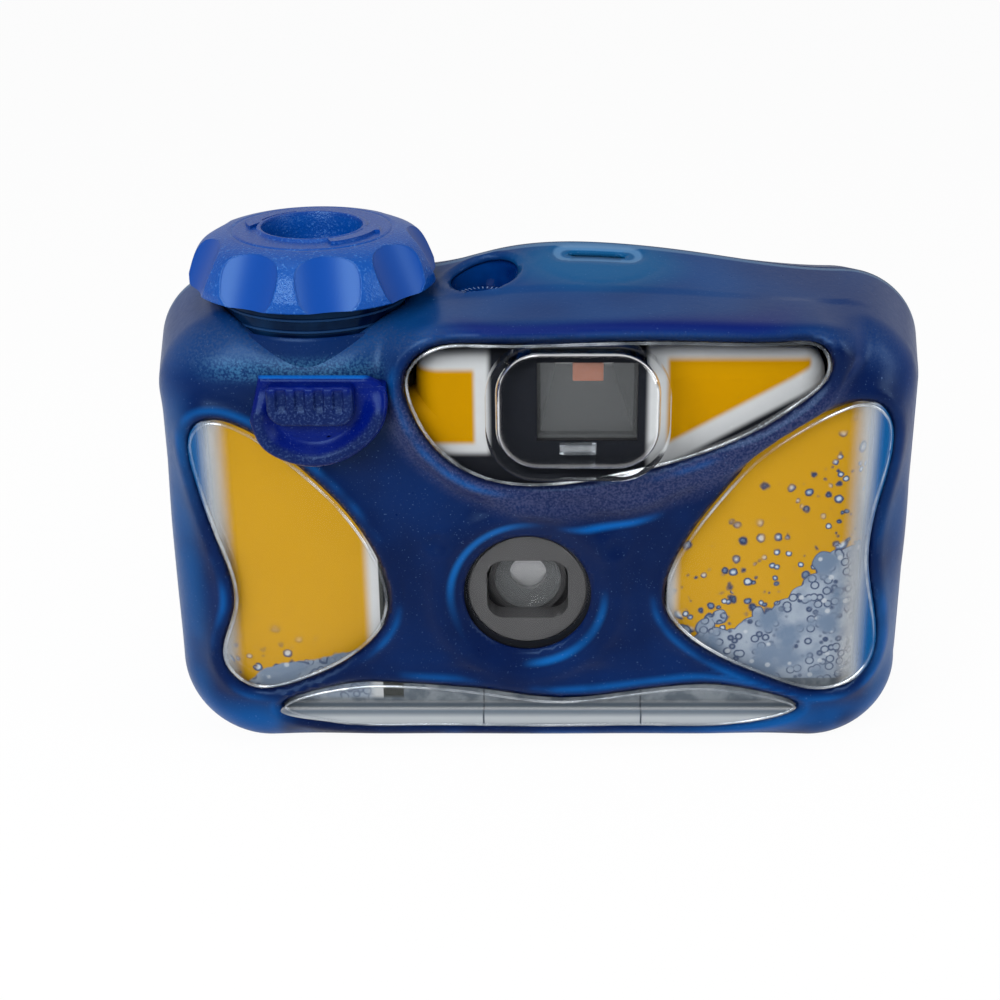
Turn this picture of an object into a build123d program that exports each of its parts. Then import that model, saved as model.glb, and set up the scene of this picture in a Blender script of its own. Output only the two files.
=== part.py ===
from build123d import *
import math
import os

# A waterproof single-use film camera: a 35 mm camera sealed in a clear housing under a soft skin.
# X runs to the viewer's right, Z up, and the lens looks along -Y. The origin is the middle of the flat base.

# Shared clearances and allowances
overrun = 1.0
run_gap = 0.05
free_gap = 0.3
seat_gap = 0.1

# The cartridge, which everything is built round
cartridge_radius = 12.1
cartridge_height = 47.2
cartridge_foot = 3.4
camera_low = 4.0
lens_z = camera_low + cartridge_foot + cartridge_height / 2
cartridge_top = lens_z + cartridge_height / 2

# Housing outline, measured at the seam between the halves
case_half_width = 66.4
case_over_cartridge = 26.2
case_shoulder = cartridge_top + case_over_cartridge
case_hump = 4.6
base_trim = 0.3
case_top_round = 14.0
case_low_round = 15.0
seam_y = 7.0
face_depth = 27.5
goggle_rise = 1.5
back_depth = 12.5
nose_draft = 4.5
back_draft = 4.0
top_draft = 2.4
nose_half_width = case_half_width - nose_draft
nose_shoulder = case_shoulder - top_draft
back_half_width = case_half_width - back_draft
back_shoulder = case_shoulder - top_draft
face_round = 9.0
back_round = 8.0
skin_wall = 1.2
shell_wall = 1.4
flange_wall = 1.2
flange_depth = 4.0
gasket_width = 1.2
gasket_groove = 0.8
gasket_lip = 0.3
hump_shares = ((-0.42, 0.02), (-0.26, 0.20), (-0.10, 0.78), (0.16, 1.0), (0.43, 0.58))
face_y = seam_y - face_depth
goggle_y = face_y - goggle_rise
back_y = seam_y + back_depth
case_wall = skin_wall + shell_wall
case_size = 3 * case_half_width

# Windows in the skin, as shares of the half width and of the shoulder height
window_sink = 0.2
wing_shares = (
    (-0.322, 0.892), (-0.268, 0.940), (-0.140, 0.953), (0.120, 0.956), (0.400, 0.957), (0.600, 0.957),
    (0.690, 0.945), (0.709, 0.903), (0.640, 0.826), (0.525, 0.762), (0.350, 0.701), (0.130, 0.656),
    (-0.030, 0.644), (-0.160, 0.668), (-0.265, 0.738), (-0.314, 0.815),
)
goggle_shares = (
    (-0.350, 0.880), (-0.345, 0.790), (-0.256, 0.686), (-0.118, 0.612), (0.053, 0.583), (0.253, 0.602),
    (0.401, 0.652), (0.545, 0.726), (0.700, 0.829), (0.768, 0.916),
)
left_shares = (
    (-0.821, 0.780), (-0.746, 0.770), (-0.625, 0.700), (-0.489, 0.582), (-0.405, 0.455), (-0.389, 0.347),
    (-0.468, 0.252), (-0.630, 0.178), (-0.762, 0.166), (-0.822, 0.225), (-0.788, 0.353), (-0.813, 0.507),
    (-0.863, 0.668), (-0.859, 0.755),
)
right_shares = (
    (0.816, 0.821), (0.715, 0.800), (0.580, 0.730), (0.455, 0.616), (0.352, 0.478), (0.325, 0.359),
    (0.419, 0.264), (0.610, 0.184), (0.760, 0.158), (0.861, 0.215), (0.872, 0.322), (0.839, 0.467),
    (0.852, 0.600), (0.879, 0.724), (0.858, 0.797),
)
base_shares = (
    (-0.678, 0.112), (-0.524, 0.164), (-0.366, 0.171), (-0.151, 0.154), (0.045, 0.133), (0.212, 0.147),
    (0.369, 0.164), (0.527, 0.157), (0.681, 0.112), (0.572, 0.074), (0.301, 0.060), (0.002, 0.057),
    (-0.301, 0.060), (-0.572, 0.074),
)
rear_shares = (
    (-0.640, 0.600), (-0.300, 0.640), (0.000, 0.620), (0.300, 0.640), (0.640, 0.600), (0.720, 0.400),
    (0.640, 0.200), (0.000, 0.170), (-0.640, 0.200), (-0.720, 0.400),
)

# Lens port and viewfinder ports in the housing
lens_x = -2.0
port_radius = 10.8
port_flare = 14.1
finder_x = 6.4
finder_drop = 15.0
finder_z = case_shoulder - finder_drop
bulge_width = 29.9
bulge_height = 23.0
bulge_round = 8.6
bulge_rise = 4.0
bulge_edge = 1.6
bulge_wall = 1.6
eyepiece_width = 22.0
eyepiece_height = 15.4
eyepiece_round = 4.0
eyepiece_rise = 2.5

# Knob, its collar and its drive down to the camera
knob_side = 28.9
knob_x = knob_side - case_half_width
knob_y = -3.5
collar_radius = 15.5
collar_wall = 1.4
collar_rise = 3.8
collar_depth = 3.0
collar_lip_drop = 3.6
collar_top = case_shoulder + collar_rise
collar_floor = collar_top - collar_depth
boss_radius = 6.0
boss_depth = 10.6
boss_bottom = collar_top - boss_depth
shaft_radius = 3.0
knob_height = 9.0
knob_skirt = 2.2
knob_bottom = collar_top - knob_skirt
knob_top = knob_bottom + knob_height
knob_rim_radius = 20.6
knob_top_radius = 13.2
knob_cup_radius = 8.2
knob_cup_lip = 0.9
knob_lip_rise = 0.5
knob_rim_height = 1.6
knob_floor = 1.4
flute_count = 9
flute_radius = 7.5
flute_bite = 1.5
flute_run_share = 0.85
flute_start_share = 0.1
knob_shoulder_share = 0.62
knob_shoulder_drop = 1.6
mark_rise = 0.35
mark_width = 2.0
mark_start = 293.0
mark_sweep = 50.0
clip_bite = 0.6
seal_width = 1.7
seal_height = 1.6
clip_radius = 5.0
clip_height = 0.8
blade_width = 2.0
blade_length = 5.4
blade_height = 3.2

# Finger lever
lever_width = 22.2
lever_height = 15.0
lever_side = 8.9
lever_drop = 9.0
lever_left = knob_x - lever_side
lever_right = lever_left + lever_width
lever_top = case_shoulder - lever_drop
lever_low = lever_top - lever_height
lever_front = 4.8
lever_back = 1.9
lever_rim = 2.0
lever_dish = 1.8
lever_pivot_side = 9.8
lever_pivot_lift = 3.6
lever_pivot_z = lever_low + lever_pivot_lift
lever_pivot_rise = 0.9
lever_pin_radius = 0.8
lever_knuckle = 1.7
lever_knuckle_width = 3.0
lever_knuckle_span = 7.0
ear_width = 1.6
lever_edge = 1.0
paddle_shares = (
    (0.07, 1.0), (0.86, 1.0), (0.97, 0.90), (1.0, 0.70), (0.95, 0.44), (0.83, 0.23), (0.66, 0.07),
    (0.46, 0.0), (0.25, 0.06), (0.08, 0.22), (0.0, 0.52),
)
boot_wall = 0.6
lever_block_width = 14.0
lever_block_height = 6.6
lever_block_side = 10.0
lever_block_drop = 4.3
lever_block_x = lever_left + lever_block_side
lever_block_z = lever_top - lever_block_drop
lever_block_rise = 0.7
lever_rib_count = 5
lever_rib_width = 1.0
lever_rib_depth = 0.5
arm_width = 4.0
arm_height = 2.0
arm_side = 2.2
arm_drop = 2.4
arm_x = lever_right - arm_side
arm_z = lever_top - arm_drop
arm_tip_y = -9.0

# Top fittings
counter_hump_share = 0.86
slot_hump_share = 1.0
counter_x = -9.3
counter_y = -1.0
counter_radius = 5.6
counter_well = 4.6
counter_floor = 1.2
slot_x = 10.0
slot_y = 3.6
slot_length = 10.3
slot_width = 1.6
slot_depth = 1.0
slot_frame_length = 15.2
slot_frame_width = 5.6
slot_frame_depth = 0.4

# Inner camera
case_room = 11.1
camera_half_width = case_half_width - case_room
shoulder_rise = 11.4
crown_rise = 7.4
camera_shoulder = cartridge_top + shoulder_rise
camera_crown = camera_shoulder + crown_rise
camera_crown_left = -20.0
crown_side = 8.3
camera_crown_right = camera_half_width - crown_side
camera_front_y = -17.3
camera_seam_y = 5.0
camera_back_y = 13.5
camera_wall = 0.9
camera_edge = 4.0
label_wall = 0.25
label_wrap = 9.0
crown_round = 4.0
foot_round = 8.0
rear_edge = 3.0
rib_share = 0.9
rib_width = 1.6

# Film and its path
film_height = 35.0
film_wall = 0.2
film_y = 8.9
cap_radius = 12.4
cap_height = 2.2
spool_radius = 5.6
spool_end = 1.5
roll_side = 19.8
roll_x = camera_half_width - roll_side
roll_y = -2.5
roll_radius = 11.0
gate_width = 36.0
gate_height = 24.0
gate_wall = 1.4
chamber_gap = 0.3
chamber_wall = 1.2
sprocket_x = -16.0
perforation_rise = 15.1
finger_reach = 2.2
counter_gear = 5.2
sprocket_radius = 6.05
sprocket_tooth = 0.8
sprocket_teeth = 8
sprocket_height = 3.0
sprocket_shaft = 1.5
cam_radius = 4.2
cam_height = 1.4
can_wall = 0.5
lip_length = 9.0
roll_turn_shares = (0.35, 0.5, 0.65, 0.8, 0.93)

# Shutter, lens and finder glass
aperture_radius = 1.6
aperture_y = -9.6
shutter_wall = 1.2
blade_wall = 0.4
blade_pivot_x = -8.0
blade_pivot_rise = 5.0
blade_pivot_z = lens_z + blade_pivot_rise
lens_radius = 5.7
lens_wall = 2.2
hood_radius = 10.0
hood_width = 14.0
hood_height = 11.0
front_glass_width = 16.6
front_glass_height = 13.4
rear_glass_width = 11.0
rear_glass_height = 8.4
glass_wall = 1.6
tunnel_x = 8.0
tunnel_drop = 8.2
tunnel_z = camera_crown - tunnel_drop
tunnel_wall = 0.9
sleeve_radius = 8.5
hood_wall = 0.5
hood_corner = 3.0
lens_curve = 10.0
box_front_width = 12.0
box_front_height = 10.0
plate_width = 26.0
plate_height = 24.0

# Wind and release mechanism
wheel_radius = 11.6
wheel_lift = 3.8
wheel_height = 5.8
wheel_bottom = cartridge_top + wheel_lift
wheel_top = wheel_bottom + wheel_height
wheel_teeth = 36
wheel_tooth = 0.7
deck_drop = 4.6
deck_z = cartridge_top - deck_drop
deck_wall = 1.2
deck_front = -7.0
dial_radius = 7.4
dial_wall = 1.0
counter_teeth = 24
counter_shaft = 1.5
button_side = 3.0
button_x = arm_x + button_side
button_y = -10.6
button_radius = 2.6
button_stem = 1.3
button_rise = 2.2
button_top = camera_shoulder + button_rise
button_travel = 1.8
lever_wall = 1.4
post_radius = 1.0
post_x = -17.5
post_y = -6.5
cock_share = 0.36
strike_x = -11.8
strike_y = -10.6
meter_x = -20.5
meter_y = -1.5
meter_tip_x = -22.0
meter_tip_y = 4.0
meter_tail_x = -22.2
meter_tail_y = -7.0


# Sizes and places worked out from the ones above
lever_middle_x = lever_left + lever_pivot_side
lever_pivot_y = face_y - lever_pivot_rise
sprocket_y = film_y - film_wall / 2 - sprocket_radius
sprocket_low = lens_z + perforation_rise - sprocket_height / 2
tooth_tip = sprocket_radius + sprocket_tooth
lever_low_z = deck_z + deck_wall + free_gap
lens_front = aperture_y - blade_wall - 2 * seat_gap - shutter_wall - lens_wall - seat_gap
lip_back = film_y - film_wall / 2 - run_gap


def plane_at(y):
    """The upright plane at y, with its own x along X and its own y along Z."""
    return Plane.XZ.offset(-y)


def upright(sketch, front, back):
    """A prism of an X-Z sketch between two Y places."""
    return extrude(plane_at(back) * sketch, back - front)


def block(x_low, x_high, y_low, y_high, z_low, z_high):
    """A box between its six faces."""
    size = (x_high - x_low, y_high - y_low, z_high - z_low)
    middle = ((x_low + x_high) / 2, (y_low + y_high) / 2, (z_low + z_high) / 2)
    return Pos(*middle) * Box(*size)


def rod(x, y, low, high, radius):
    """An upright cylinder."""
    return Pos(x, y, (low + high) / 2) * Cylinder(radius, high - low)


def pipe(x, y, low, high, outer, inner):
    """An upright tube."""
    return rod(x, y, low, high, outer) - rod(x, y, low - overrun, high + overrun, inner)


def barrel(x, z, front, back, radius):
    """A cylinder along Y."""
    return Pos(x, (front + back) / 2, z) * Rot(90, 0, 0) * Cylinder(radius, back - front)


def closed_spline(shares, wide, high):
    """A smooth closed outline through points given as shares of a width and a height."""
    points = [(across * wide, up * high) for across, up in shares]
    return make_face(Spline(points, periodic=True))


def window(shares, front, back):
    """A window's prism through the housing wall."""
    return upright(closed_spline(shares, case_half_width, case_shoulder), front, back)


# Housing forms


def case_face(y, inset):
    """The housing's section at y, drawn in by inset: straight sides, rounded corners and a humped top."""
    toward_front = y < seam_y
    depth = goggle_rise + face_depth if toward_front else back_depth
    reach = abs(y - seam_y) / depth
    end_width = nose_half_width if toward_front else back_half_width
    end_shoulder = nose_shoulder if toward_front else back_shoulder
    half = case_half_width + (end_width - case_half_width) * reach - inset
    top = case_shoulder + (end_shoulder - case_shoulder) * reach - inset
    hump = case_hump * (1 - (reach if toward_front else reach / 2))
    upper = case_top_round - inset
    lower = case_low_round - inset
    low = inset - base_trim
    hump_points = [(across * half, top + up * hump) for across, up in reversed(hump_shares)]
    crest = [(half - upper, top)] + hump_points + [(upper - half, top)]
    edges = [
        Line((lower - half, low), (half - lower, low)),
        CenterArc((half - lower, low + lower), lower, -90, 90),
        Line((half, low + lower), (half, top - upper)),
        CenterArc((half - upper, top - upper), upper, 0, 90),
        Spline(crest, tangents=[(-1, 0), (-1, 0)]),
        CenterArc((upper - half, top - upper), upper, 90, 90),
        Line((-half, top - upper), (-half, low + lower)),
        CenterArc((lower - half, low + lower), lower, 180, 90),
    ]
    return plane_at(y) * make_face(edges)


def case_front(inset):
    """The front half's solid form, drawn in by inset, with its rounded face."""
    form = loft([case_face(seam_y, inset), case_face(face_y + inset, inset)], ruled=True)
    face = form.faces().sort_by(Axis.Y)[0]
    return fillet(face.edges(), face_round - inset)


def case_back(inset):
    """The rear half's solid form, drawn in by inset, with its rounded back."""
    form = loft([case_face(seam_y, inset), case_face(back_y - inset, inset)], ruled=True)
    face = form.faces().sort_by(Axis.Y)[-1]
    return fillet(face.edges(), back_round - inset)


def goggle(sink):
    """The raised mask round the wing window, which runs out into the top."""
    points = [(across * case_half_width, up * case_shoulder) for across, up in goggle_shares]
    above = case_shoulder + case_hump + overrun
    edge = Spline(points)
    cap = Polyline([points[-1], (points[-1][0], above), (points[0][0], above), points[0]])
    prism = upright(make_face([edge, cap]), goggle_y + sink, seam_y - face_round)
    form = loft([case_face(seam_y, sink), case_face(goggle_y + sink, sink)], ruled=True)
    return prism & form


def rounded_prism(x, z, width, height, corner, front, back):
    """A prism along Y with rounded upright corners."""
    return upright(Pos(x, z) * RectangleRounded(width, height, corner), front, back)


def finder_bulge(sink):
    """The clear box of the viewfinder port, proud of the mask, or its hollow when sunk."""
    form = rounded_prism(
        finder_x, finder_z, bulge_width - 2 * sink, bulge_height - 2 * sink, bulge_round - sink,
        goggle_y - bulge_rise + sink, face_y + overrun,
    )
    return fillet(form.faces().sort_by(Axis.Y)[0].edges(), bulge_edge)


def eyepiece(sink):
    """The clear eyepiece box on the back, or its hollow when sunk."""
    form = rounded_prism(
        tunnel_x, tunnel_z, eyepiece_width - 2 * sink, eyepiece_height - 2 * sink, eyepiece_round - sink,
        back_y - case_wall - overrun, back_y + eyepiece_rise - sink,
    )
    return fillet(form.faces().sort_by(Axis.Y)[-1].edges(), bulge_edge)


def lens_flare():
    """The conical dish in the skin round the lens port."""
    cone = Cone(port_radius, port_flare, skin_wall)
    return Pos(lens_x, face_y + skin_wall / 2, lens_z) * Rot(90, 0, 0) * cone


def counter_prism(radius, low, high):
    """The round well over the frame counter."""
    return rod(counter_x, counter_y, low, high, radius)


def top_at(x_share, y):
    """The height of the housing's top at y, where x_share says how much of the hump stands there."""
    reach = (seam_y - y) / (goggle_rise + face_depth)
    shoulder = case_shoulder + (nose_shoulder - case_shoulder) * reach
    return shoulder + x_share * case_hump * (1 - reach)


counter_low = top_at(counter_hump_share, counter_y) - counter_well - counter_floor


def slot_shape(length, width, depth):
    """A rounded slot in the top, near the seam."""
    top = top_at(slot_hump_share, slot_y)
    form = extrude(Plane.XY * SlotOverall(length, width), depth + overrun)
    return Pos(slot_x, slot_y, top - depth) * form


def barrel_x(x, width, radius):
    """A cylinder along X on the lever's pivot line."""
    return Pos(x, lever_pivot_y, lever_pivot_z) * Rot(0, 90, 0) * Cylinder(radius, width)


def ear_places():
    """The middles of the two ears along X, just outside the lever's knuckles."""
    reach = (lever_knuckle_span + lever_knuckle_width + 2 * seat_gap + ear_width) / 2
    return (lever_middle_x - reach, lever_middle_x + reach)


def lever_ears():
    """The two ears on the clear shell that hold the lever's pin."""
    ears = []
    for x in ear_places():
        ears.append(barrel_x(x, ear_width, lever_knuckle))
        ears.append(block(
            x - ear_width / 2, x + ear_width / 2, lever_pivot_y, face_y + skin_wall + shell_wall / 2,
            lever_pivot_z - lever_knuckle, lever_pivot_z + lever_knuckle,
        ))
    return ears


def lever_pockets():
    """The pockets in the housing wall that the lever's knuckles move in, and its arm's opening."""
    width = lever_knuckle_width + 2 * seat_gap
    pockets = [
        barrel_x(lever_middle_x + side * lever_knuckle_span / 2, width, lever_knuckle + free_gap)
        for side in (-1, 1)
    ]
    pockets.append(arm_frame(free_gap + boot_wall, goggle_y, face_y + case_wall + overrun))
    return pockets


def arm_frame(grow, front, back):
    """The room that the lever's arm swings in, grown on all four sides."""
    return block(
        arm_x - arm_width / 2 - grow, arm_x + arm_width / 2 + grow, front, back,
        arm_z - arm_height - grow, arm_z + arm_height / 2 + grow,
    )


def collar(grow):
    """The hollow collar under the knob, or the room it takes in the skins when grown."""
    low = top_at(0, knob_y) - case_wall - overrun
    ring = rod(knob_x, knob_y, low, collar_top + grow, collar_radius)
    if grow:
        return ring
    return ring - rod(knob_x, knob_y, collar_floor, collar_top + overrun, collar_radius - collar_wall)


def collar_lip():
    """The skin's upright lip round the front of the collar, where the housing's top rounds away."""
    outer = collar_radius + skin_wall
    low, high = case_shoulder - case_top_round, case_shoulder - collar_lip_drop
    ring = pipe(knob_x, knob_y, low, high, outer, collar_radius)
    return ring & block(-case_size, case_size, face_y, seam_y, 0, case_size)


def seam_ring(front, back):
    """The gasket's ring in the seam, between two outlines drawn in from the seam's own."""
    middle = skin_wall + (shell_wall + flange_wall) / 2
    outer = extrude(case_face(seam_y, middle - gasket_width / 2), amount=case_half_width, both=True)
    inner = extrude(case_face(seam_y, middle + gasket_width / 2), amount=case_half_width, both=True)
    return (outer - inner) & block(-case_size, case_size, front, back, 0, case_size)


def flange(form, front, back):
    """The thicker wall beside the seam, between two Y places."""
    return (form(case_wall) - form(case_wall + flange_wall)) & block(
        -case_size, case_size, front, back, 0, case_size,
    )


def front_windows():
    """The prisms of the side and base windows."""
    return [
        window(shares, face_y - overrun, seam_y - face_round)
        for shares in (left_shares, right_shares, base_shares)
    ]


def wing_prism():
    """The prism of the wing window through the mask and the wall."""
    return window(wing_shares, goggle_y - overrun, face_y + case_wall)


def front_shell():
    """The clear front half: wall, window pads, ports, knob collar, counter well and seam flange."""
    well_radius = counter_radius + counter_floor
    pads = [prism & case_front(window_sink) for prism in front_windows()]
    pads.append(wing_prism() & goggle(window_sink))
    well = rod(counter_x, counter_y, counter_low, counter_low + counter_well, well_radius)
    cavity = case_front(case_wall) - [flange(case_front, seam_y - flange_depth, seam_y), well]
    port = rounded_prism(
        finder_x, finder_z, bulge_width - 2 * bulge_wall, bulge_height - 2 * bulge_wall,
        bulge_round - bulge_wall, face_y, face_y + case_wall + overrun,
    )
    shell = case_front(skin_wall) + (pads + [finder_bulge(0), collar(0)])
    shell -= [
        cavity, finder_bulge(bulge_wall), port, slot_shape(slot_length, slot_width, slot_depth + skin_wall),
        rod(counter_x, counter_y, counter_low + counter_floor, case_size, counter_radius),
        seam_ring(seam_y - gasket_groove, seam_y + overrun),
    ] + lever_pockets()
    shell += lever_ears() + [rod(knob_x, knob_y, boss_bottom, collar_top, boss_radius)]
    shell -= [
        rod(knob_x, knob_y, boss_bottom - overrun, collar_top + overrun, shaft_radius + run_gap),
        rod(knob_x, knob_y, collar_top - seal_height, collar_top + overrun, shaft_radius + seal_width),
        barrel_x(lever_middle_x, case_half_width / 2, lever_pin_radius),
    ]
    return shell


def under_base():
    """The space below the flat base that the skins are trimmed to."""
    return block(-case_size, case_size, -case_size, case_size, -case_size, 0)


def front_skin():
    """The soft front cover, with the raised mask and its openings for the clear windows."""
    skin = case_front(0) + goggle(0) + collar_lip()
    return skin - ([
        under_base(),
        case_front(skin_wall), wing_prism(), finder_bulge(0), lens_flare(), collar(case_shoulder),
        rod(counter_x, counter_y, case_shoulder / 2, case_size, counter_radius),
        slot_shape(slot_frame_length, slot_frame_width, slot_frame_depth),
        slot_shape(slot_length, slot_width, slot_depth + skin_wall),
    ] + front_windows() + lever_pockets() + lever_ears())


def rear_window():
    """The prism of the rear window."""
    return window(rear_shares, back_y - case_wall - overrun, back_y + overrun)


def rear_shell():
    """The clear rear half with the eyepiece port, the seam flange and the ribs that hold the camera."""
    ribs = []
    for side in (-1, 1):
        x = side * camera_half_width * rib_share
        ribs.append(block(
            x - rib_width / 2, x + rib_width / 2, camera_back_y, back_y - skin_wall - shell_wall / 2,
            camera_low + 2 * camera_edge, camera_shoulder - 2 * camera_edge,
        ))
    shell = case_back(skin_wall) + [rear_window() & case_back(window_sink), eyepiece(0)]
    shell -= [
        case_back(case_wall) - flange(case_back, seam_y, seam_y + flange_depth),
        eyepiece(bulge_wall), collar(case_shoulder), seam_ring(seam_y - overrun, seam_y + gasket_lip),
    ]
    return shell + ribs


def rear_skin():
    """The soft rear cover."""
    return case_back(0) - [
        case_back(skin_wall), rear_window(), eyepiece(0), collar(case_shoulder), under_base(),
    ]


def housing_gasket():
    """The rubber ring in the seam, interrupted by nothing but the collar's groove."""
    return seam_ring(seam_y - gasket_groove, seam_y + gasket_lip)


# Knob and its drive

knob_under = collar_top + free_gap
cup_floor = knob_under + knob_floor
plate_top = knob_top - knob_lip_rise


def advance_knob():
    """The winding knob: a fluted skirt, a flat top with a cup and two raised turning marks."""
    cavity = collar_radius + overrun
    rim_top = knob_bottom + knob_rim_height
    shoulder = knob_top_radius + knob_shoulder_share * (knob_rim_radius - knob_top_radius)
    skirt = Spline(
        (knob_top_radius, plate_top), (shoulder, plate_top - knob_shoulder_drop), (knob_rim_radius, rim_top),
    )
    lip = knob_cup_radius + knob_cup_lip
    outline = Polyline(
        (knob_rim_radius, rim_top), (knob_rim_radius, knob_bottom), (cavity, knob_bottom),
        (cavity, knob_under), (0, knob_under), (0, cup_floor), (knob_cup_radius, cup_floor),
        (knob_cup_radius, knob_top), (lip, knob_top), (lip, plate_top), (knob_top_radius, plate_top),
    )
    body = revolve(Plane.XZ * make_face([skirt, outline]), Axis.Z)
    flute_low = knob_rim_radius - flute_bite
    run = (knob_rim_radius - knob_top_radius - flute_bite) * flute_run_share
    lean = math.degrees(math.atan2(run, plate_top - knob_bottom))
    flute_height = 2 * (knob_top - knob_bottom)
    flutes = []
    for turn in range(flute_count):
        cutter = Pos(flute_low + flute_radius / math.cos(math.radians(lean)), 0, knob_bottom)
        cutter = cutter * Rot(0, -lean, 0) * Cylinder(flute_radius, flute_height)
        flutes.append(Rot(0, 0, (turn + flute_start_share) * 360 / flute_count) * cutter)
    body -= flutes
    marks = []
    for turn in (0, 1):
        arc = Rot(0, 0, 180 * turn) * mark_shape()
        marks.append(Pos(0, 0, plate_top) * extrude(arc, mark_rise))
    body += marks
    body -= rod(0, 0, knob_under - overrun, cup_floor + overrun, shaft_radius)
    return Pos(knob_x, knob_y, 0) * body


def mark_shape():
    """A curved arrow on the knob's plate, from just off the lip."""
    inner = knob_cup_radius + knob_cup_lip
    outer = inner + mark_width
    end = mark_start + mark_sweep
    ring = Circle(outer) - Circle(inner)
    reach = 2 * knob_top_radius
    first = Rot(0, 0, mark_start) * Pos(reach / 2, reach / 2) * Rectangle(reach, reach)
    second = Rot(0, 0, end - 90) * Pos(reach / 2, reach / 2) * Rectangle(reach, reach)
    middle = (inner + outer) / 2
    head = Rot(0, 0, end) * Pos(middle, 0) * make_face(Polyline(
        (-mark_width, 0), (mark_width, 0), (0, 2 * mark_width), (-mark_width, 0),
    ))
    return (ring & first & second) + head


def knob_shaft():
    """The drive shaft: a riveted head in the cup, a clip groove and a blade for the wheel's slot."""
    clip_top = boss_bottom - seat_gap
    low = wheel_top + free_gap
    shaft = rod(knob_x, knob_y, low, cup_floor, shaft_radius)
    shaft += rod(knob_x, knob_y, cup_floor, cup_floor + knob_floor / 2, shaft_radius + knob_floor)
    half_length, half_width = blade_length / 2, blade_width / 2
    shaft += block(
        knob_x - half_length, knob_x + half_length, knob_y - half_width, knob_y + half_width,
        wheel_top - blade_height + free_gap, low,
    )
    outer = shaft_radius + overrun
    return shaft - pipe(knob_x, knob_y, clip_top - clip_height, clip_top, outer, shaft_radius - clip_bite)


def knob_clip():
    """The retaining ring in the shaft's groove, under the boss."""
    clip_top = boss_bottom - seat_gap
    ring = pipe(knob_x, knob_y, clip_top - clip_height, clip_top, clip_radius, shaft_radius - clip_bite)
    return ring - block(
        knob_x, knob_x + clip_radius + overrun, knob_y - clip_bite * 2, knob_y + clip_bite * 2,
        boss_bottom - clip_radius, boss_bottom,
    )


def knob_seal():
    """The ring that seals the shaft in its gland."""
    outer = shaft_radius + seal_width
    return pipe(knob_x, knob_y, collar_top - seal_height, collar_top, outer, shaft_radius + run_gap)


# Finger lever


def paddle_outline(inset):
    """The paddle's outline, drawn in by inset on its four sides."""
    width = lever_right - lever_left - 2 * inset
    height = lever_top - lever_low - 2 * inset
    points = [
        (lever_left + inset + across * width, lever_low + inset + up * height)
        for across, up in paddle_shares
    ]
    return make_face([Spline(points[1:]), Polyline([points[-1], points[0], points[1]])])


def shutter_lever():
    """The finger lever: a dished paddle with a ribbed block, two knuckles and an arm into the housing."""
    front = face_y - lever_front
    back = face_y - lever_back
    paddle = upright(paddle_outline(0), front, back)
    paddle = fillet(paddle.faces().sort_by(Axis.Y)[0].edges(), lever_edge)
    paddle -= [upright(paddle_outline(lever_rim), front - overrun, front + lever_dish)] + [
        barrel_x(x, ear_width + 2 * seat_gap, lever_knuckle + free_gap) for x in ear_places()
    ]
    block_front = front - lever_block_rise
    grip = rounded_prism(
        lever_block_x, lever_block_z, lever_block_width, lever_block_height, lever_edge, block_front, back,
    )
    pitch = lever_block_width / (lever_rib_count + 1)
    grooves = []
    for number in range(lever_rib_count):
        x = lever_block_x + (number - (lever_rib_count - 1) / 2) * pitch
        grooves.append(block(
            x - lever_rib_width / 2, x + lever_rib_width / 2,
            block_front - overrun, block_front + lever_rib_depth,
            lever_block_z - lever_block_height / 4, lever_block_z + lever_block_height,
        ))
    additions = [grip - grooves, block(
        arm_x - arm_width / 2, arm_x + arm_width / 2, back - lever_edge, arm_tip_y,
        arm_z - arm_height / 2, arm_z + arm_height / 2,
    )]
    for side in (-1, 1):
        x = lever_middle_x + side * lever_knuckle_span / 2
        additions.append(barrel_x(x, lever_knuckle_width, lever_knuckle))
        additions.append(block(
            x - lever_knuckle_width / 2, x + lever_knuckle_width / 2, back - lever_edge, lever_pivot_y,
            lever_pivot_z - lever_knuckle, lever_pivot_z + lever_knuckle,
        ))
    return (paddle + additions) - barrel_x(lever_middle_x, case_half_width / 2, lever_pin_radius + run_gap)


def lever_pin():
    """The steel pin through the ears and the lever's knuckles."""
    length = lever_knuckle_span + lever_knuckle_width + 2 * seat_gap + 2 * ear_width
    return barrel_x(lever_middle_x, length, lever_pin_radius)


def lever_boot():
    """The soft grommet that lines the arm's opening in the wall."""
    front, back = face_y + skin_wall, face_y + case_wall
    opening = arm_frame(free_gap, front - overrun, back + overrun)
    return arm_frame(free_gap + boot_wall, front, back) - opening


# Inner camera covers and labels


def camera_face(grow):
    """The inner camera's outline: a box with a crown over the finder and the counter."""
    side = camera_half_width + grow
    low = camera_low - grow
    shoulder = camera_shoulder + grow
    crown = camera_crown + grow
    left = camera_crown_left - grow
    right = camera_crown_right + grow
    face = make_face(Polyline(
        (-side, low), (side, low), (side, shoulder), (right, shoulder), (right, crown), (left, crown),
        (left, shoulder), (-side, shoulder), (-side, low),
    ))
    feet, shoulders, crowns = face.vertices().group_by(Axis.Y)
    face = fillet(feet, foot_round + grow)
    rest = [corner for corner in face.vertices() if corner.Y > shoulder - crown_round]
    rest = [corner for corner in rest if corner.Y > shoulder + overrun or abs(corner.X) > side - overrun]
    return fillet(rest, crown_round + grow)


def camera_form(grow, front, back):
    """The inner camera's solid with a rounded front edge."""
    form = upright(camera_face(grow), front - grow, back)
    return fillet(form.faces().sort_by(Axis.Y)[0].edges(), camera_edge + grow)


def rear_form(grow):
    """The inner camera's rear solid with a rounded back edge."""
    form = upright(camera_face(grow), camera_seam_y, camera_back_y + grow)
    return fillet(form.faces().sort_by(Axis.Y)[-1].edges(), rear_edge + grow)


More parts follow.
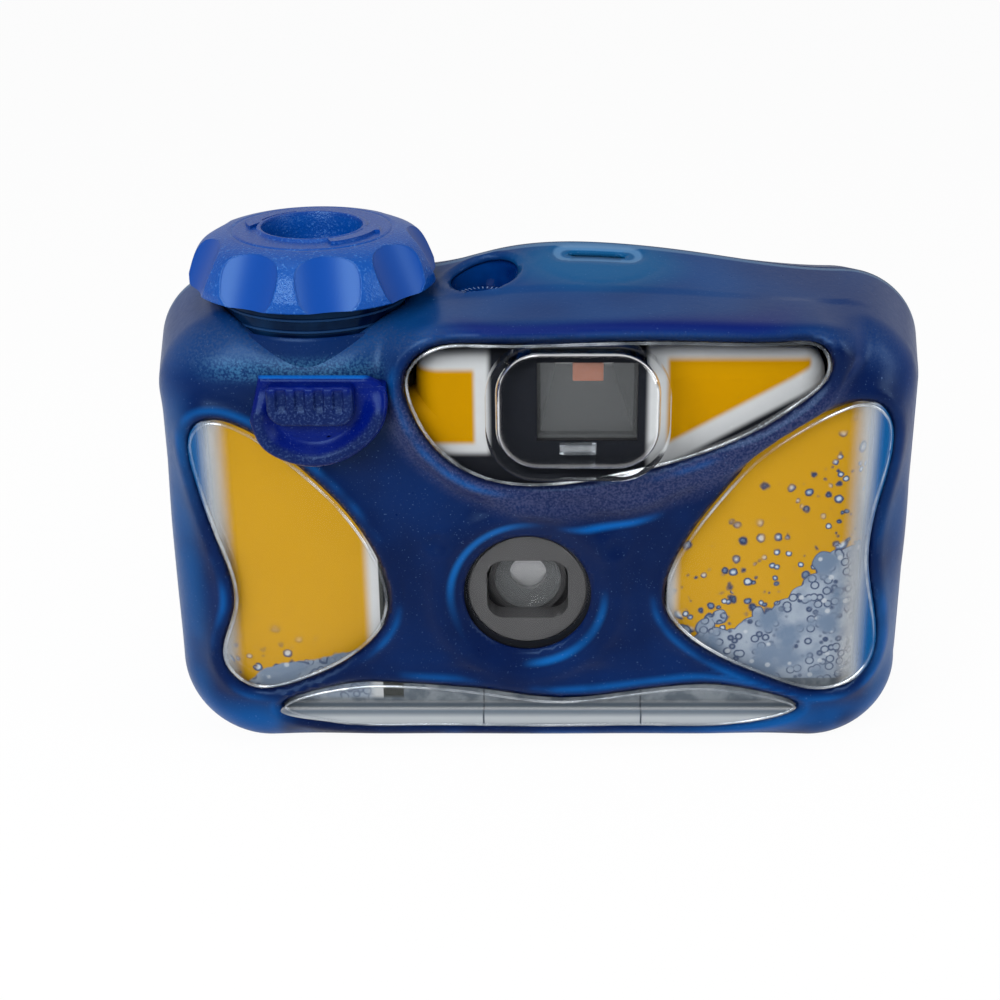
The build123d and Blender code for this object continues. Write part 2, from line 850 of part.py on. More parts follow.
def glass_block(width, height, front, back, grow):
    """A box on the finder's axis, for its glass and openings."""
    return block(
        tunnel_x - width / 2 - grow, tunnel_x + width / 2 + grow, front, back,
        tunnel_z - height / 2 - grow, tunnel_z + height / 2 + grow,
    )


def camera_front_cover():
    """The black front cover of the inner camera, with its openings."""
    cover = camera_form(0, camera_front_y, camera_seam_y)
    inside_front = camera_front_y + camera_edge
    inside = upright(camera_face(-camera_wall), camera_front_y + camera_wall, camera_seam_y + overrun)
    inside = fillet(inside.faces().sort_by(Axis.Y)[0].edges(), camera_edge - camera_wall)
    return cover - [
        inside,
        barrel(lens_x, lens_z, camera_front_y - overrun, inside_front, sleeve_radius + seat_gap),
        glass_block(front_glass_width, front_glass_height, camera_front_y - overrun, inside_front, 0),
        rod(knob_x, knob_y, wheel_top, case_shoulder, clip_radius + free_gap),
        rod(button_x, button_y, wheel_top, case_shoulder, button_radius + run_gap),
        rod(counter_x, counter_y, camera_shoulder, case_shoulder, counter_radius),
    ]


def camera_rear_cover():
    """The black rear cover, with the eyepiece opening and the pad that keeps the film flat."""
    inside = upright(camera_face(-camera_wall), camera_seam_y - overrun, camera_back_y - camera_wall)
    cover = rear_form(0) - [
        inside, glass_block(rear_glass_width, rear_glass_height, camera_seam_y, camera_back_y + overrun, 0),
        rod(counter_x, counter_y, camera_shoulder, case_shoulder, counter_radius),
        rod(knob_x, knob_y, wheel_top, case_shoulder, clip_radius + free_gap),
    ]
    pad = block(
        lens_x - gate_width / 2, lens_x + gate_width / 2, film_y + film_wall / 2 + free_gap,
        camera_back_y - camera_wall / 2, lens_z - film_height / 2, sprocket_low - free_gap,
    )
    return cover + pad


def front_label():
    """The printed wrap over the front cover and its edges."""
    ahead = camera_front_y - overrun
    wrap = camera_form(label_wall, camera_front_y, camera_front_y + label_wrap)
    return wrap - [
        camera_form(0, camera_front_y, camera_seam_y),
        barrel(lens_x, lens_z, ahead, camera_front_y + overrun, hood_radius + free_gap),
        glass_block(front_glass_width, front_glass_height, ahead, camera_front_y + overrun, 0),
        rod(knob_x, knob_y, wheel_top, case_shoulder, clip_radius + free_gap),
        rod(button_x, button_y, wheel_top, case_shoulder, button_radius + run_gap),
        rod(counter_x, counter_y, camera_shoulder, case_shoulder, counter_radius),
    ]


def rear_label():
    """The printed panel on the rear cover, cut round the two ribs."""
    width = 2 * (camera_half_width * rib_share - rib_width)
    height = tunnel_z - camera_low - 2 * rear_glass_height
    return rounded_prism(
        0, camera_low + height / 2, width, height, crown_round, camera_back_y, camera_back_y + label_wall,
    )


# Chassis and optics


def taper_box(width, height, y, x, z):
    """A rectangle on an upright plane, for lofts along Y."""
    return plane_at(y) * Pos(x, z) * Rectangle(width, height)


def camera_chassis():
    """The moulded frame: film chambers, gate, lens box, finder tunnel, deck and lever posts."""
    front = camera_front_y + camera_wall + seat_gap
    gate_back = film_y - film_wall / 2 - seat_gap
    gate_front = gate_back - gate_wall
    deck_top = deck_z + deck_wall
    tooth_room = tooth_tip + free_gap
    can_room = cap_radius + chamber_gap
    roll_room = roll_radius + chamber_gap
    low = camera_low + camera_wall
    can_low = lens_z - cartridge_height / 2
    can_high = lens_z + cartridge_height / 2
    film_low = lens_z - film_height / 2
    film_high = lens_z + film_height / 2
    left, right = knob_x + can_room, roll_x - roll_room
    body = rod(knob_x, knob_y, low, can_high + chamber_gap, can_room + chamber_wall)
    body += [
        rod(roll_x, roll_y, low, film_high + deck_wall + chamber_gap, roll_room + chamber_wall),
        block(left - chamber_wall, right + chamber_wall, gate_front, gate_back, low, deck_top),
        block(left - chamber_wall, right + chamber_wall, deck_front, gate_front, deck_z, deck_top),
        block(left - chamber_wall, right + chamber_wall, aperture_y, gate_front, low, low + deck_wall),
        block(
            lens_x - plate_width / 2, lens_x + plate_width / 2, aperture_y, aperture_y + shutter_wall,
            low, deck_top,
        ),
        block(
            left - chamber_wall, post_x + 2 * post_radius, post_y - 2 * post_radius, deck_front,
            deck_z, deck_top,
        ),
        block(
            sprocket_x - 2 * sprocket_shaft, sprocket_x + 2 * sprocket_shaft,
            sprocket_y - 2 * sprocket_shaft, gate_front + gate_wall / 2,
            sprocket_low - free_gap - sprocket_height, sprocket_low - free_gap,
        ),
        loft([
            taper_box(
                box_front_width + 2 * gate_wall, box_front_height + 2 * gate_wall,
                aperture_y, lens_x, lens_z,
            ),
            taper_box(gate_width + 2 * gate_wall, gate_height + 2 * gate_wall, gate_front, lens_x, lens_z),
        ], ruled=True),
    ]
    body -= [
        rod(knob_x, knob_y, can_low, can_high + chamber_gap + overrun, can_room),
        block(
            knob_x - cartridge_radius / 2, knob_x + cartridge_radius / 2, -case_size, knob_y,
            can_low, case_shoulder,
        ),
        rod(knob_x, knob_y, low - overrun, can_low + overrun, spool_radius + chamber_gap),
        rod(roll_x, roll_y, low + deck_wall, film_high + deck_wall + chamber_gap + overrun, roll_room),
        block(knob_x, roll_x, gate_back, camera_back_y, film_low - overrun, film_high + overrun),
        block(
            knob_x, knob_x + lip_length + free_gap, lip_back - can_wall - free_gap, camera_back_y,
            film_low - overrun, film_high + overrun,
        ),
        block(-case_size, case_size, -case_size, front, 0, case_size),
        loft([
            taper_box(box_front_width, box_front_height, aperture_y + shutter_wall, lens_x, lens_z),
            taper_box(gate_width, gate_height, gate_back, lens_x, lens_z),
        ], ruled=True),
        barrel(lens_x, lens_z, aperture_y - overrun, aperture_y + 2 * shutter_wall, aperture_radius),
        rod(sprocket_x, sprocket_y, deck_z - overrun, deck_top + overrun, sprocket_shaft + run_gap),
        rod(counter_x, counter_y, deck_z - overrun, deck_top + overrun, counter_shaft + run_gap),
        block(
            sprocket_x - tooth_room, sprocket_x + tooth_room, sprocket_y - tooth_tip, camera_back_y,
            sprocket_low - free_gap, sprocket_low + sprocket_height + free_gap,
        ),
    ]
    room = camera_form(-camera_wall - 2 * seat_gap, camera_front_y, camera_back_y - camera_wall - seat_gap)
    body &= room
    body += finder_tunnel() & room
    body += [rod(x, y, deck_z + deck_wall / 2, top, post_radius) for x, y, top in lever_places()]
    return body


def finder_tunnel():
    """The finder's tapered tunnel on its foot, with a pocket for each lens."""
    front = camera_front_y + camera_wall + seat_gap
    back = camera_back_y - camera_wall - seat_gap
    wall = 2 * tunnel_wall
    tunnel = loft([
        taper_box(front_glass_width + wall, front_glass_height + wall, front, tunnel_x, tunnel_z),
        taper_box(rear_glass_width + wall, rear_glass_height + wall, back, tunnel_x, tunnel_z),
    ], ruled=True)
    foot = block(
        tunnel_x - rear_glass_width / 2, tunnel_x + rear_glass_width / 2, deck_front, deck_front + deck_wall,
        deck_z + deck_wall / 2, tunnel_z,
    )
    return (tunnel + foot) - [
        loft([
            taper_box(
                front_glass_width - tunnel_wall, front_glass_height - tunnel_wall, front, tunnel_x, tunnel_z,
            ),
            taper_box(
                rear_glass_width - tunnel_wall, rear_glass_height - tunnel_wall, back, tunnel_x, tunnel_z,
            ),
        ], ruled=True),
        glass_block(front_glass_width, front_glass_height, front - overrun, front + glass_wall, 0),
        glass_block(rear_glass_width, rear_glass_height, back - glass_wall, back + overrun, 0),
    ]


def lever_places():
    """The places and tops of the two lever posts on the deck."""
    return (
        (post_x, post_y, lever_low_z + lever_wall + free_gap),
        (meter_x, meter_y, lever_low_z + lever_wall + free_gap),
    )


def viewfinder_front_lens():
    """The concave front element of the finder."""
    front = camera_front_y + camera_wall + seat_gap
    glass = glass_block(front_glass_width, front_glass_height, front, front + glass_wall, -run_gap)
    depth = glass_wall / 2
    radius = (front_glass_height ** 2 / 4 + depth ** 2) / (2 * depth)
    return glass - Pos(tunnel_x, front - radius + depth, tunnel_z) * Sphere(radius)


def viewfinder_rear_lens():
    """The convex rear element of the finder."""
    back = camera_back_y - camera_wall - seat_gap
    glass = glass_block(rear_glass_width, rear_glass_height, back - glass_wall, back, -run_gap)
    radius = 2 * rear_glass_width
    return glass & Pos(tunnel_x, back - radius, tunnel_z) * Sphere(radius)


def lens_hood():
    """The dark disc behind the port, with a rounded opening and a sleeve down to the lens."""
    hood = barrel(lens_x, lens_z, camera_front_y - hood_wall, camera_front_y, hood_radius)
    hood += barrel(lens_x, lens_z, camera_front_y, lens_front - seat_gap, sleeve_radius)
    return hood - rounded_prism(
        lens_x, lens_z, hood_width, hood_height, hood_corner, camera_front_y - overrun, lens_front,
    )


def taking_lens():
    """The meniscus lens, its hollow side to the front."""
    form = barrel(lens_x, lens_z, lens_front, lens_front + lens_wall, lens_radius)
    hollow = Pos(lens_x, lens_front - lens_curve + lens_wall / 3, lens_z) * Sphere(lens_curve)
    crown = Pos(lens_x, lens_front + lens_wall - lens_curve, lens_z) * Sphere(lens_curve)
    return (form & crown) - hollow


def shutter_plate():
    """The plate over the shutter, with the lens's seat ring and the blade's pin."""
    back = aperture_y - blade_wall - 2 * seat_gap
    front = back - shutter_wall
    plate = rounded_prism(lens_x, lens_z, plate_width, plate_height, lens_wall, front, back)
    plate += barrel(lens_x, lens_z, lens_front, front, lens_radius + seat_gap + tunnel_wall)
    plate += barrel(blade_pivot_x, blade_pivot_z, back, aperture_y, post_radius)
    return plate - [
        barrel(lens_x, lens_z, lens_front - overrun, front, lens_radius + run_gap),
        barrel(lens_x, lens_z, front - lens_wall, aperture_y, 2 * aperture_radius),
    ]


def shutter_blade():
    """The thin blade that hangs over the aperture, with the tail that the cocking lever strikes."""
    front = aperture_y - blade_wall - seat_gap
    back = aperture_y - seat_gap
    across, down = lens_x - blade_pivot_x, blade_pivot_z - lens_z
    lean = math.degrees(math.atan2(down, across))
    arm = Pos((lens_x + blade_pivot_x) / 2, (lens_z + blade_pivot_z) / 2) * Rot(0, 0, -lean)
    outline = Pos(lens_x, lens_z) * Circle(2 * aperture_radius)
    outline += arm * Rectangle(math.hypot(across, down), 2 * post_radius)
    outline += Pos(blade_pivot_x, blade_pivot_z) * Circle(2 * post_radius)
    tail_top = deck_z - free_gap
    outline += Pos(blade_pivot_x, (blade_pivot_z + tail_top) / 2) * Rectangle(
        2 * post_radius, tail_top - blade_pivot_z,
    )
    outline -= Pos(blade_pivot_x, blade_pivot_z) * Circle(post_radius + run_gap)
    return upright(outline, front, back)


# Film path


def cartridge_can():
    """The can of the film cartridge with its exit lip."""
    low = lens_z - cartridge_height / 2 + cap_height
    high = lens_z + cartridge_height / 2 - cap_height
    can = pipe(knob_x, knob_y, low, high, cartridge_radius, cartridge_radius - can_wall)
    return can + block(
        knob_x, knob_x + lip_length, lip_back - can_wall, lip_back,
        lens_z - film_height / 2, lens_z + film_height / 2,
    )


def cartridge_caps():
    """The two end caps of the cartridge, with their holes for the spool."""
    half = cartridge_height / 2
    caps = [
        pipe(knob_x, knob_y, lens_z - half, lens_z - half + cap_height, cap_radius, spool_radius + run_gap),
        pipe(knob_x, knob_y, lens_z + half - cap_height, lens_z + half, cap_radius, spool_radius + run_gap),
    ]
    return Compound(children=[cap.solid() for cap in caps])


def cartridge_spool():
    """The spool that winds the exposed film back into the can."""
    half = cartridge_height / 2
    inside = half - cap_height - seat_gap
    disc_radius = cartridge_radius - can_wall - free_gap
    top = lens_z + half + spool_end
    spool = rod(knob_x, knob_y, lens_z - half - spool_end, top, spool_radius)
    spool += [
        rod(knob_x, knob_y, lens_z + inside - spool_end, lens_z + inside, disc_radius),
        rod(knob_x, knob_y, lens_z - inside, lens_z - inside + spool_end, disc_radius),
    ]
    return spool - rod(knob_x, knob_y, top - 2 * spool_end, top + overrun, shaft_radius + run_gap)


def thumbwheel():
    """The serrated wheel over the cartridge, with the slot for the knob's blade and the spool's stub."""
    wheel = Pos(0, 0, wheel_bottom) * extrude(
        toothed(wheel_teeth, wheel_radius, wheel_radius - wheel_tooth), wheel_top - wheel_bottom,
    )
    slot = Pos(0, 0, wheel_top) * Box(
        blade_length + 2 * seat_gap, blade_width + 2 * seat_gap, 2 * blade_height,
    )
    stub = rod(0, 0, lens_z + cartridge_height / 2 - spool_end + seat_gap, wheel_bottom, shaft_radius)
    return Pos(knob_x, knob_y, 0) * (wheel + stub - slot)


def toothed(count, tip, root):
    """A wheel's outline with pointed teeth."""
    points = []
    for step in range(2 * count):
        angle = math.pi * step / count
        radius = tip if step % 2 else root
        points.append((radius * math.cos(angle), radius * math.sin(angle)))
    return make_face(Polyline(points + points[:1]))


def film_strip():
    """The film between the cartridge and the roll, notched where the sprocket works."""
    start = knob_x + lip_length / 3
    film = block(
        start, roll_x, film_y - film_wall / 2, film_y + film_wall / 2, lens_z - film_height / 2,
        lens_z + film_height / 2,
    )
    return film - block(
        sprocket_x - tooth_tip, sprocket_x + tooth_tip, film_y - overrun, film_y + overrun,
        sprocket_low - free_gap, case_shoulder,
    )


def supply_roll():
    """The unexposed film, wound on itself in its chamber round a bare core."""
    low = lens_z - film_height / 2
    roll = rod(roll_x, roll_y, low, low + film_height, roll_radius)
    turns = []
    for radius_share in roll_turn_shares:
        outer = roll_radius * radius_share
        turns.append(pipe(roll_x, roll_y, low + film_height - film_wall, low + film_height + overrun, outer,
                          outer - film_wall))
    core = spool_radius / 2
    return roll - (turns + [rod(roll_x, roll_y, low - overrun, low + film_height + overrun, core)])


def film_sprocket():
    """The toothed film wheel on its shaft, with the cam and the counter's finger above the deck."""
    wheel = rod(0, 0, sprocket_low, sprocket_low + sprocket_height, sprocket_radius)
    finger_low = lever_low_z + cam_height + seat_gap
    teeth = []
    for turn in range(sprocket_teeth):
        tooth = Pos(sprocket_radius, 0, sprocket_low + sprocket_height / 2)
        tooth = tooth * Box(2 * sprocket_tooth, 2 * sprocket_tooth, sprocket_height / 2)
        teeth.append(Rot(0, 0, turn * 360 / sprocket_teeth) * tooth)
    core = rod(0, 0, sprocket_low, finger_low, finger_reach)
    notch = block(cam_radius / 2, cam_radius + overrun, -cam_radius, 0, sprocket_low, finger_low) - core
    cam = rod(0, 0, lever_low_z, lever_low_z + cam_height, cam_radius) - notch
    finger = block(0, finger_reach, -sprocket_tooth, sprocket_tooth, finger_low, finger_low + lever_wall)
    shaft = rod(0, 0, sprocket_low, finger_low + lever_wall, sprocket_shaft)
    return Pos(sprocket_x, sprocket_y, 0) * (wheel + teeth + [shaft, cam, finger])


def counter_wheel():
    """The frame dial on its stem, with the small gear that the sprocket's finger steps."""
    dial_top = camera_crown - camera_wall - free_gap
    gear_low = lever_low_z + cam_height + seat_gap
    outline = toothed(counter_teeth, counter_gear, counter_gear - sprocket_tooth)
    wheel = Pos(0, 0, gear_low) * extrude(outline, lever_wall) + [
        rod(0, 0, deck_z + deck_wall / 2, dial_top, counter_shaft),
        rod(0, 0, dial_top - dial_wall, dial_top, dial_radius),
    ]
    return Pos(counter_x, counter_y, 0) * wheel


# Levers and button


def cranked(points, width):
    """A flat lever outline: round bosses joined by straight arms."""
    outline = Pos(*points[0]) * Circle(width)
    for start, end in zip(points, points[1:]):
        middle = ((start[0] + end[0]) / 2, (start[1] + end[1]) / 2)
        lean = math.degrees(math.atan2(end[1] - start[1], end[0] - start[0]))
        length = math.hypot(end[0] - start[0], end[1] - start[1])
        outline += Pos(*middle) * Rot(0, 0, lean) * Rectangle(length, width)
        outline += Pos(*end) * Circle(width / 2)
    return outline


def cocking_lever():
    """The sprung lever that the cam cocks and that strikes the blade's tail."""
    tip = (post_x + (sprocket_x - post_x) * cock_share, post_y + (sprocket_y - post_y) * cock_share)
    outline = cranked([(post_x, post_y), tip], 2 * post_radius)
    outline += cranked([(post_x, post_y), (strike_x, strike_y)], 2 * post_radius)
    outline -= Pos(post_x, post_y) * Circle(post_radius + run_gap)
    lever = Pos(0, 0, lever_low_z) * extrude(outline, lever_wall)
    pin_low = deck_z - sprocket_height
    return lever + rod(strike_x, strike_y, pin_low, lever_low_z + lever_wall / 2, post_radius / 2)


def metering_lever():
    """The lever that stops the wheel after one frame until the button frees it."""
    outline = cranked([(meter_x, meter_y), (meter_tip_x, meter_tip_y)], 2 * post_radius)
    outline += cranked([(meter_x, meter_y), (meter_tail_x, meter_tail_y)], 2 * post_radius)
    outline -= Pos(meter_x, meter_y) * Circle(post_radius + run_gap)
    return Pos(0, 0, lever_low_z) * extrude(outline, lever_wall)


def release_button():
    """The camera's own release button on its stem."""
    low = camera_shoulder - camera_wall - button_travel
    button = rod(button_x, button_y, low, button_top, button_radius)
    button += rod(button_x, button_y, lever_low_z, low, button_stem)
    return button


def export(name, shape):
    """Write one node."""
    export_step(shape, f"parts/{name}.step")


pieces = (
    front_shell, front_skin, rear_shell, rear_skin, housing_gasket,
    advance_knob, knob_shaft, knob_clip, knob_seal, shutter_lever, lever_pin, lever_boot,
    camera_front_cover, camera_rear_cover, front_label, rear_label, camera_chassis,
    viewfinder_front_lens, viewfinder_rear_lens, lens_hood, taking_lens, shutter_plate, shutter_blade,
    cartridge_can, cartridge_caps, cartridge_spool, thumbwheel, film_strip, supply_roll, film_sprocket,
    counter_wheel, cocking_lever, metering_lever, release_button,
)
os.makedirs("parts", exist_ok=True)
for piece in pieces:
    export(piece.__name__, piece())
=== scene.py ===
import math

import bpy
import numpy as np
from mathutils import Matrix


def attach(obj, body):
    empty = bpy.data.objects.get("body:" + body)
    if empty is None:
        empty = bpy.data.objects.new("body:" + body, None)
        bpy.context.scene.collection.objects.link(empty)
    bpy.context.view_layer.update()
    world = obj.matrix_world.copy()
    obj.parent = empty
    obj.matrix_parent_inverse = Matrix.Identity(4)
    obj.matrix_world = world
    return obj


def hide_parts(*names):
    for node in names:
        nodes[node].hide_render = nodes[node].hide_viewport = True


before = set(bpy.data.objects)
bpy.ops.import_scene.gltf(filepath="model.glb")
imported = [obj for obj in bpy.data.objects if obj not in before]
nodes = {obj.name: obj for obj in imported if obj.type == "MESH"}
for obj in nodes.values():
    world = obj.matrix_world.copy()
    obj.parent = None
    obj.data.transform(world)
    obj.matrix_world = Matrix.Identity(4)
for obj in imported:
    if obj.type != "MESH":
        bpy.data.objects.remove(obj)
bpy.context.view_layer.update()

# A sealed single-use camera: inner film camera, clear housing, soft blue skin, fluted knob and finger lever.
# Lengths in the dictionaries are millimetres in the CAD frame; meshes are written in metres.
mm = 0.001


# Small helpers for meshes

def addMesh(name, points, faces, material, body, replaces=(), sharp=32, fields=None):
    # points: n x 3 in mm, faces: a list of index arrays; every piece sits at the origin with its place in its mesh
    mesh = bpy.data.meshes.new(name)
    rows = [row for block in faces for row in np.asarray(block).tolist()]
    mesh.from_pydata((np.asarray(points) * mm).tolist(), [], rows)
    for key, values in (fields or {}).items():
        layer = mesh.attributes.new(key, "FLOAT", "POINT")
        layer.data.foreach_set("value", np.asarray(values, dtype=np.float32).ravel())
    mesh.validate()
    mesh.polygons.foreach_set("use_smooth", np.ones(len(mesh.polygons), dtype=bool))
    if sharp:
        mesh.set_sharp_from_angle(angle=math.radians(sharp))
    piece = bpy.data.objects.new(name, mesh)
    bpy.context.scene.collection.objects.link(piece)
    mesh.materials.append(material)
    if replaces:
        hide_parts(*replaces)
    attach(piece, body)
    return piece


def gridFaces(rows, cols, wrapRows=False, wrapCols=False):
    # quads over a rows x cols grid of points, closed round either way on request
    r = np.arange(rows if wrapRows else rows - 1)
    c = np.arange(cols if wrapCols else cols - 1)
    r, c = np.meshgrid(r, c, indexing="ij")
    down, across = (r + 1) % rows, (c + 1) % cols
    return np.stack([r * cols + c, r * cols + across, down * cols + across, down * cols + c], -1).reshape(-1, 4)


def smoothStep(low, high, value):
    t = np.clip((value - low) / (high - low), 0, 1)
    return t * t * (3 - 2 * t)


def bell(value, middle, width):
    return np.exp(-((value - middle) / width) ** 2)


def cubicSlopes(knots, values, closing=None, level=False):
    # slopes of the C2 cubic through the values: closed round when closing gives the last gap,
    # else with free or level ends
    count = len(knots)
    gaps = np.append(np.diff(knots), closing if closing else 1.0)
    system = np.zeros((count, count))
    right = np.zeros((count,) + values.shape[1:])
    for k in range(count):
        before, after = (k - 1) % count, (k + 1) % count
        first, last = closing is None and k == 0, closing is None and k == count - 1
        if (first or last) and level:
            system[k, k] = 1
            continue
        if not first:
            system[k, before] += 1 / gaps[before]
            system[k, k] += 2 / gaps[before]
            right[k] += 3 * (values[k] - values[before]) / gaps[before] ** 2
        if not last:
            system[k, after] += 1 / gaps[k]
            system[k, k] += 2 / gaps[k]
            right[k] += 3 * (values[after] - values[k]) / gaps[k] ** 2
    return np.linalg.solve(system, right)


def cubicAt(knots, values, slopes, at, closing=None):
    # Hermite cubic between the knots
    count = len(knots)
    k = np.clip(np.searchsorted(knots, at, side="right") - 1, 0, count - 1 if closing else count - 2)
    after = (k + 1) % count
    gap = np.append(np.diff(knots), closing if closing else 1.0)[k]
    u = (at - knots[k]) / gap
    if values.ndim == 2:
        u, gap = u[:, None], gap[:, None]
    return (
        values[k] * (2 * u ** 3 - 3 * u ** 2 + 1) + slopes[k] * gap * (u ** 3 - 2 * u ** 2 + u)
        + values[after] * (3 * u ** 2 - 2 * u ** 3) + slopes[after] * gap * (u ** 3 - u ** 2)
    )


def curveThrough(points, count, closed=True):
    # the smooth line through the points by chord length, sampled evenly in its parameter
    points = np.asarray(points, dtype=float)
    ahead = np.roll(points, -1, 0) if closed else points[1:]
    chord = np.linalg.norm(ahead - points[:len(ahead)], axis=1)
    knots = np.concatenate([[0], np.cumsum(chord)])[:len(points)]
    closing = chord[-1] if closed else None
    slopes = cubicSlopes(knots, points, closing)
    at = np.linspace(0, chord.sum(), count, endpoint=not closed)
    return cubicAt(knots, points, slopes, at, closing)


def levelCurve(knots, values, at):
    # the cubic with level ends through values at the knots
    knots, values = np.asarray(knots, dtype=float), np.asarray(values, dtype=float)
    slopes = cubicSlopes(knots, values, level=True)
    return cubicAt(knots, values, slopes, np.clip(at, knots[0], knots[-1]))


def outlineDistance(outline, x, z):
    # signed distance to a closed outline: plus outside, minus inside
    shape = x.shape
    flat = np.stack([x.ravel(), z.ravel()], 1)
    ahead = np.roll(outline, -1, 0)
    run = ahead - outline
    length2 = (run ** 2).sum(1)
    near = np.empty(len(flat))
    inside = np.empty(len(flat), dtype=bool)
    for low in range(0, len(flat), 8000):
        part = flat[low:low + 8000]
        away = part[:, None] - outline[None]
        share = np.clip((away * run[None]).sum(2) / length2[None], 0, 1)
        gap = away - share[..., None] * run[None]
        near[low:low + 8000] = np.sqrt((gap ** 2).sum(2).min(1))
        crosses = (outline[None, :, 1] > part[:, None, 1]) != (ahead[None, :, 1] > part[:, None, 1])
        rise = np.where(np.abs(run[:, 1]) < 1e-9, 1e-9, run[:, 1])
        meet = outline[None, :, 0] + (part[:, None, 1] - outline[None, :, 1]) * run[None, :, 0] / rise[None]
        inside[low:low + 8000] = (crosses & (part[:, None, 0] < meet)).sum(1) % 2 == 1
    return np.where(inside, -near, near).reshape(shape)


# Small helpers for materials

class Signal:
    # wraps a socket, so that an expression on values adds its Math nodes
    def __init__(self, finish, socket):
        self.finish = finish
        self.socket = socket

    def math(self, operation, *others):
        return self.finish.node("ShaderNodeMath", {"operation": operation}, dict(enumerate((self, *others))))

    def after(self, operation, other):
        # the same with this value as the second one
        return self.finish.node("ShaderNodeMath", {"operation": operation}, {0: other, 1: self})

    def rise(self, low, high):
        # 0 below low, 1 above high, smooth between; the other way round when low is the larger
        return self.finish.node(
            "ShaderNodeMapRange", {"interpolation_type": "SMOOTHSTEP"},
            {"Value": self, "From Min": low, "From Max": high},
        )

    def within(self, low, high, soft):
        # 1 between low and high with soft edges
        return self.rise(low - soft, low + soft) * (1 - self.rise(high - soft, high + soft))

    def __add__(self, other): return self.math("ADD", other)
    def __radd__(self, other): return self.after("ADD", other)
    def __sub__(self, other): return self.math("SUBTRACT", other)
    def __rsub__(self, other): return self.after("SUBTRACT", other)
    def __mul__(self, other): return self.math("MULTIPLY", other)
    def __rmul__(self, other): return self.after("MULTIPLY", other)
    def least(self, other): return self.math("MINIMUM", other)
    def most(self, other): return self.math("MAXIMUM", other)
    def size(self): return self.math("ABSOLUTE")
    def root(self): return self.math("SQRT")


class Finish:
    # one material: its Principled shader, and one method that adds any other node
    def __init__(self, name, **plain):
        self.material = bpy.data.materials.new(name)
        self.material.use_nodes = True
        self.tree = self.material.node_tree
        self.shader = self.tree.nodes["Principled BSDF"]
        self.output = self.tree.nodes["Material Output"]
        for key, value in plain.items():
            self.shader.inputs[socketNames[key]].default_value = value
        self.place = None

    def node(self, kind, settings=None, inputs=None, out=0):
        made = self.tree.nodes.new(kind)
        for key, value in (settings or {}).items():
            setattr(made, key, value)
        for key, value in (inputs or {}).items():
            self.feed(made.inputs[key], value)
        return Signal(self, made.outputs[out])

    def feed(self, socket, value):
        if isinstance(value, Signal):
            self.tree.links.new(value.socket, socket)
        else:
            socket.default_value = (*value, 1) if socket.type == "RGBA" and len(value) == 3 else value

    def shade(self, **inputs):
        for key, value in inputs.items():
            self.feed(self.shader.inputs[socketNames[key]], value)

    def coordinates(self):
        # the point on the object in millimetres, as three signals
        if self.place is None:
            split = self.tree.nodes.new("ShaderNodeSeparateXYZ")
            where = self.tree.nodes.new("ShaderNodeTexCoord")
            self.tree.links.new(where.outputs["Object"], split.inputs[0])
            self.place = [Signal(self, split.outputs[k]) * (1 / mm) for k in range(3)]
            self.where = Signal(self, where.outputs["Object"])
        return self.place

    def field(self, name):
        return self.node("ShaderNodeAttribute", {"attribute_name": name}, out=2)

    def noise(self, scale, detail=3, where=None):
        # scale is in features per metre
        self.coordinates()
        return self.node(
            "ShaderNodeTexNoise", None,
            {"Vector": where or self.where, "Scale": scale, "Detail": detail, "Roughness": noiseRoughness},
        )

    def cells(self, scale):
        self.coordinates()
        return self.node("ShaderNodeTexVoronoi", None, {"Vector": self.where, "Scale": scale})

    def drawn(self, scale, detail, stretch):
        # noise stretched along the axes by the three factors
        self.coordinates()
        where = self.node("ShaderNodeMapping", None, {"Vector": self.where, "Scale": stretch})
        return self.noise(scale, detail, where)

    def mix(self, share, first, second):
        made = self.tree.nodes.new("ShaderNodeMix")
        made.data_type = "RGBA"
        made.clamp_factor = True
        self.feed(made.inputs["Factor"], share)
        self.feed(made.inputs[6], first)
        self.feed(made.inputs[7], second)
        return Signal(self, made.outputs[2])

    def bump(self, height, strength, distance):
        self.feed(self.shader.inputs["Normal"], self.node(
            "ShaderNodeBump", None, {"Height": height, "Strength": strength, "Distance": distance},
        ))

    def above(self, kind, share):
        # shows this shader by share, and one of another kind through the rest
        other, blend = self.tree.nodes.new(kind), self.tree.nodes.new("ShaderNodeMixShader")
        self.feed(blend.inputs[0], share)
        targets = blend.inputs[1], blend.inputs[2], self.output.inputs[0]
        for source, target in zip((other, self.shader, blend), targets):
            self.tree.links.new(source.outputs[0], target)
        return self.material


noiseRoughness = 0.55
plasticIndex = 1.49
socketNames = {
    "colour": "Base Color", "rough": "Roughness", "metal": "Metallic", "ior": "IOR", "coat": "Coat Weight",
    "shine": "Specular IOR Level", "tint": "Specular Tint",
}


def colour(red, green, blue):
    # an sRGB colour in 0..255 as linear values
    return tuple(
        c / 12.92 if c <= 0.04045 else ((c + 0.055) / 1.055) ** 2.4 for c in (v / 255 for v in (red, green, blue))
    )


# Stage: floor, world, lights, camera

stageSet = {
    "floorColour": 0.93, "floorVary": 0.01, "floorWhite": 0.95, "floorReach": 4000,
    "worldTint": (0.93, 0.95, 1.0), "worldStrength": 0.4, "glossyWhite": 0.35,
    "camera": (2.2, -286.0, 168.4), "pitch": 24.2, "lens": 63.0, "shiftX": -0.052,
    "lamps": (
        # name, place mm, aim mm, size mm, power W
        ("topSoft", (-80, -60, 520), (0, 0, 40), (420, 260), 0.5),
        ("frontSoft", (-190, -440, 330), (0, 0, 40), (320, 260), 2.4),
        ("rightSoft", (430, -160, 220), (0, 0, 40), (160, 320), 0.7),
    ),
}


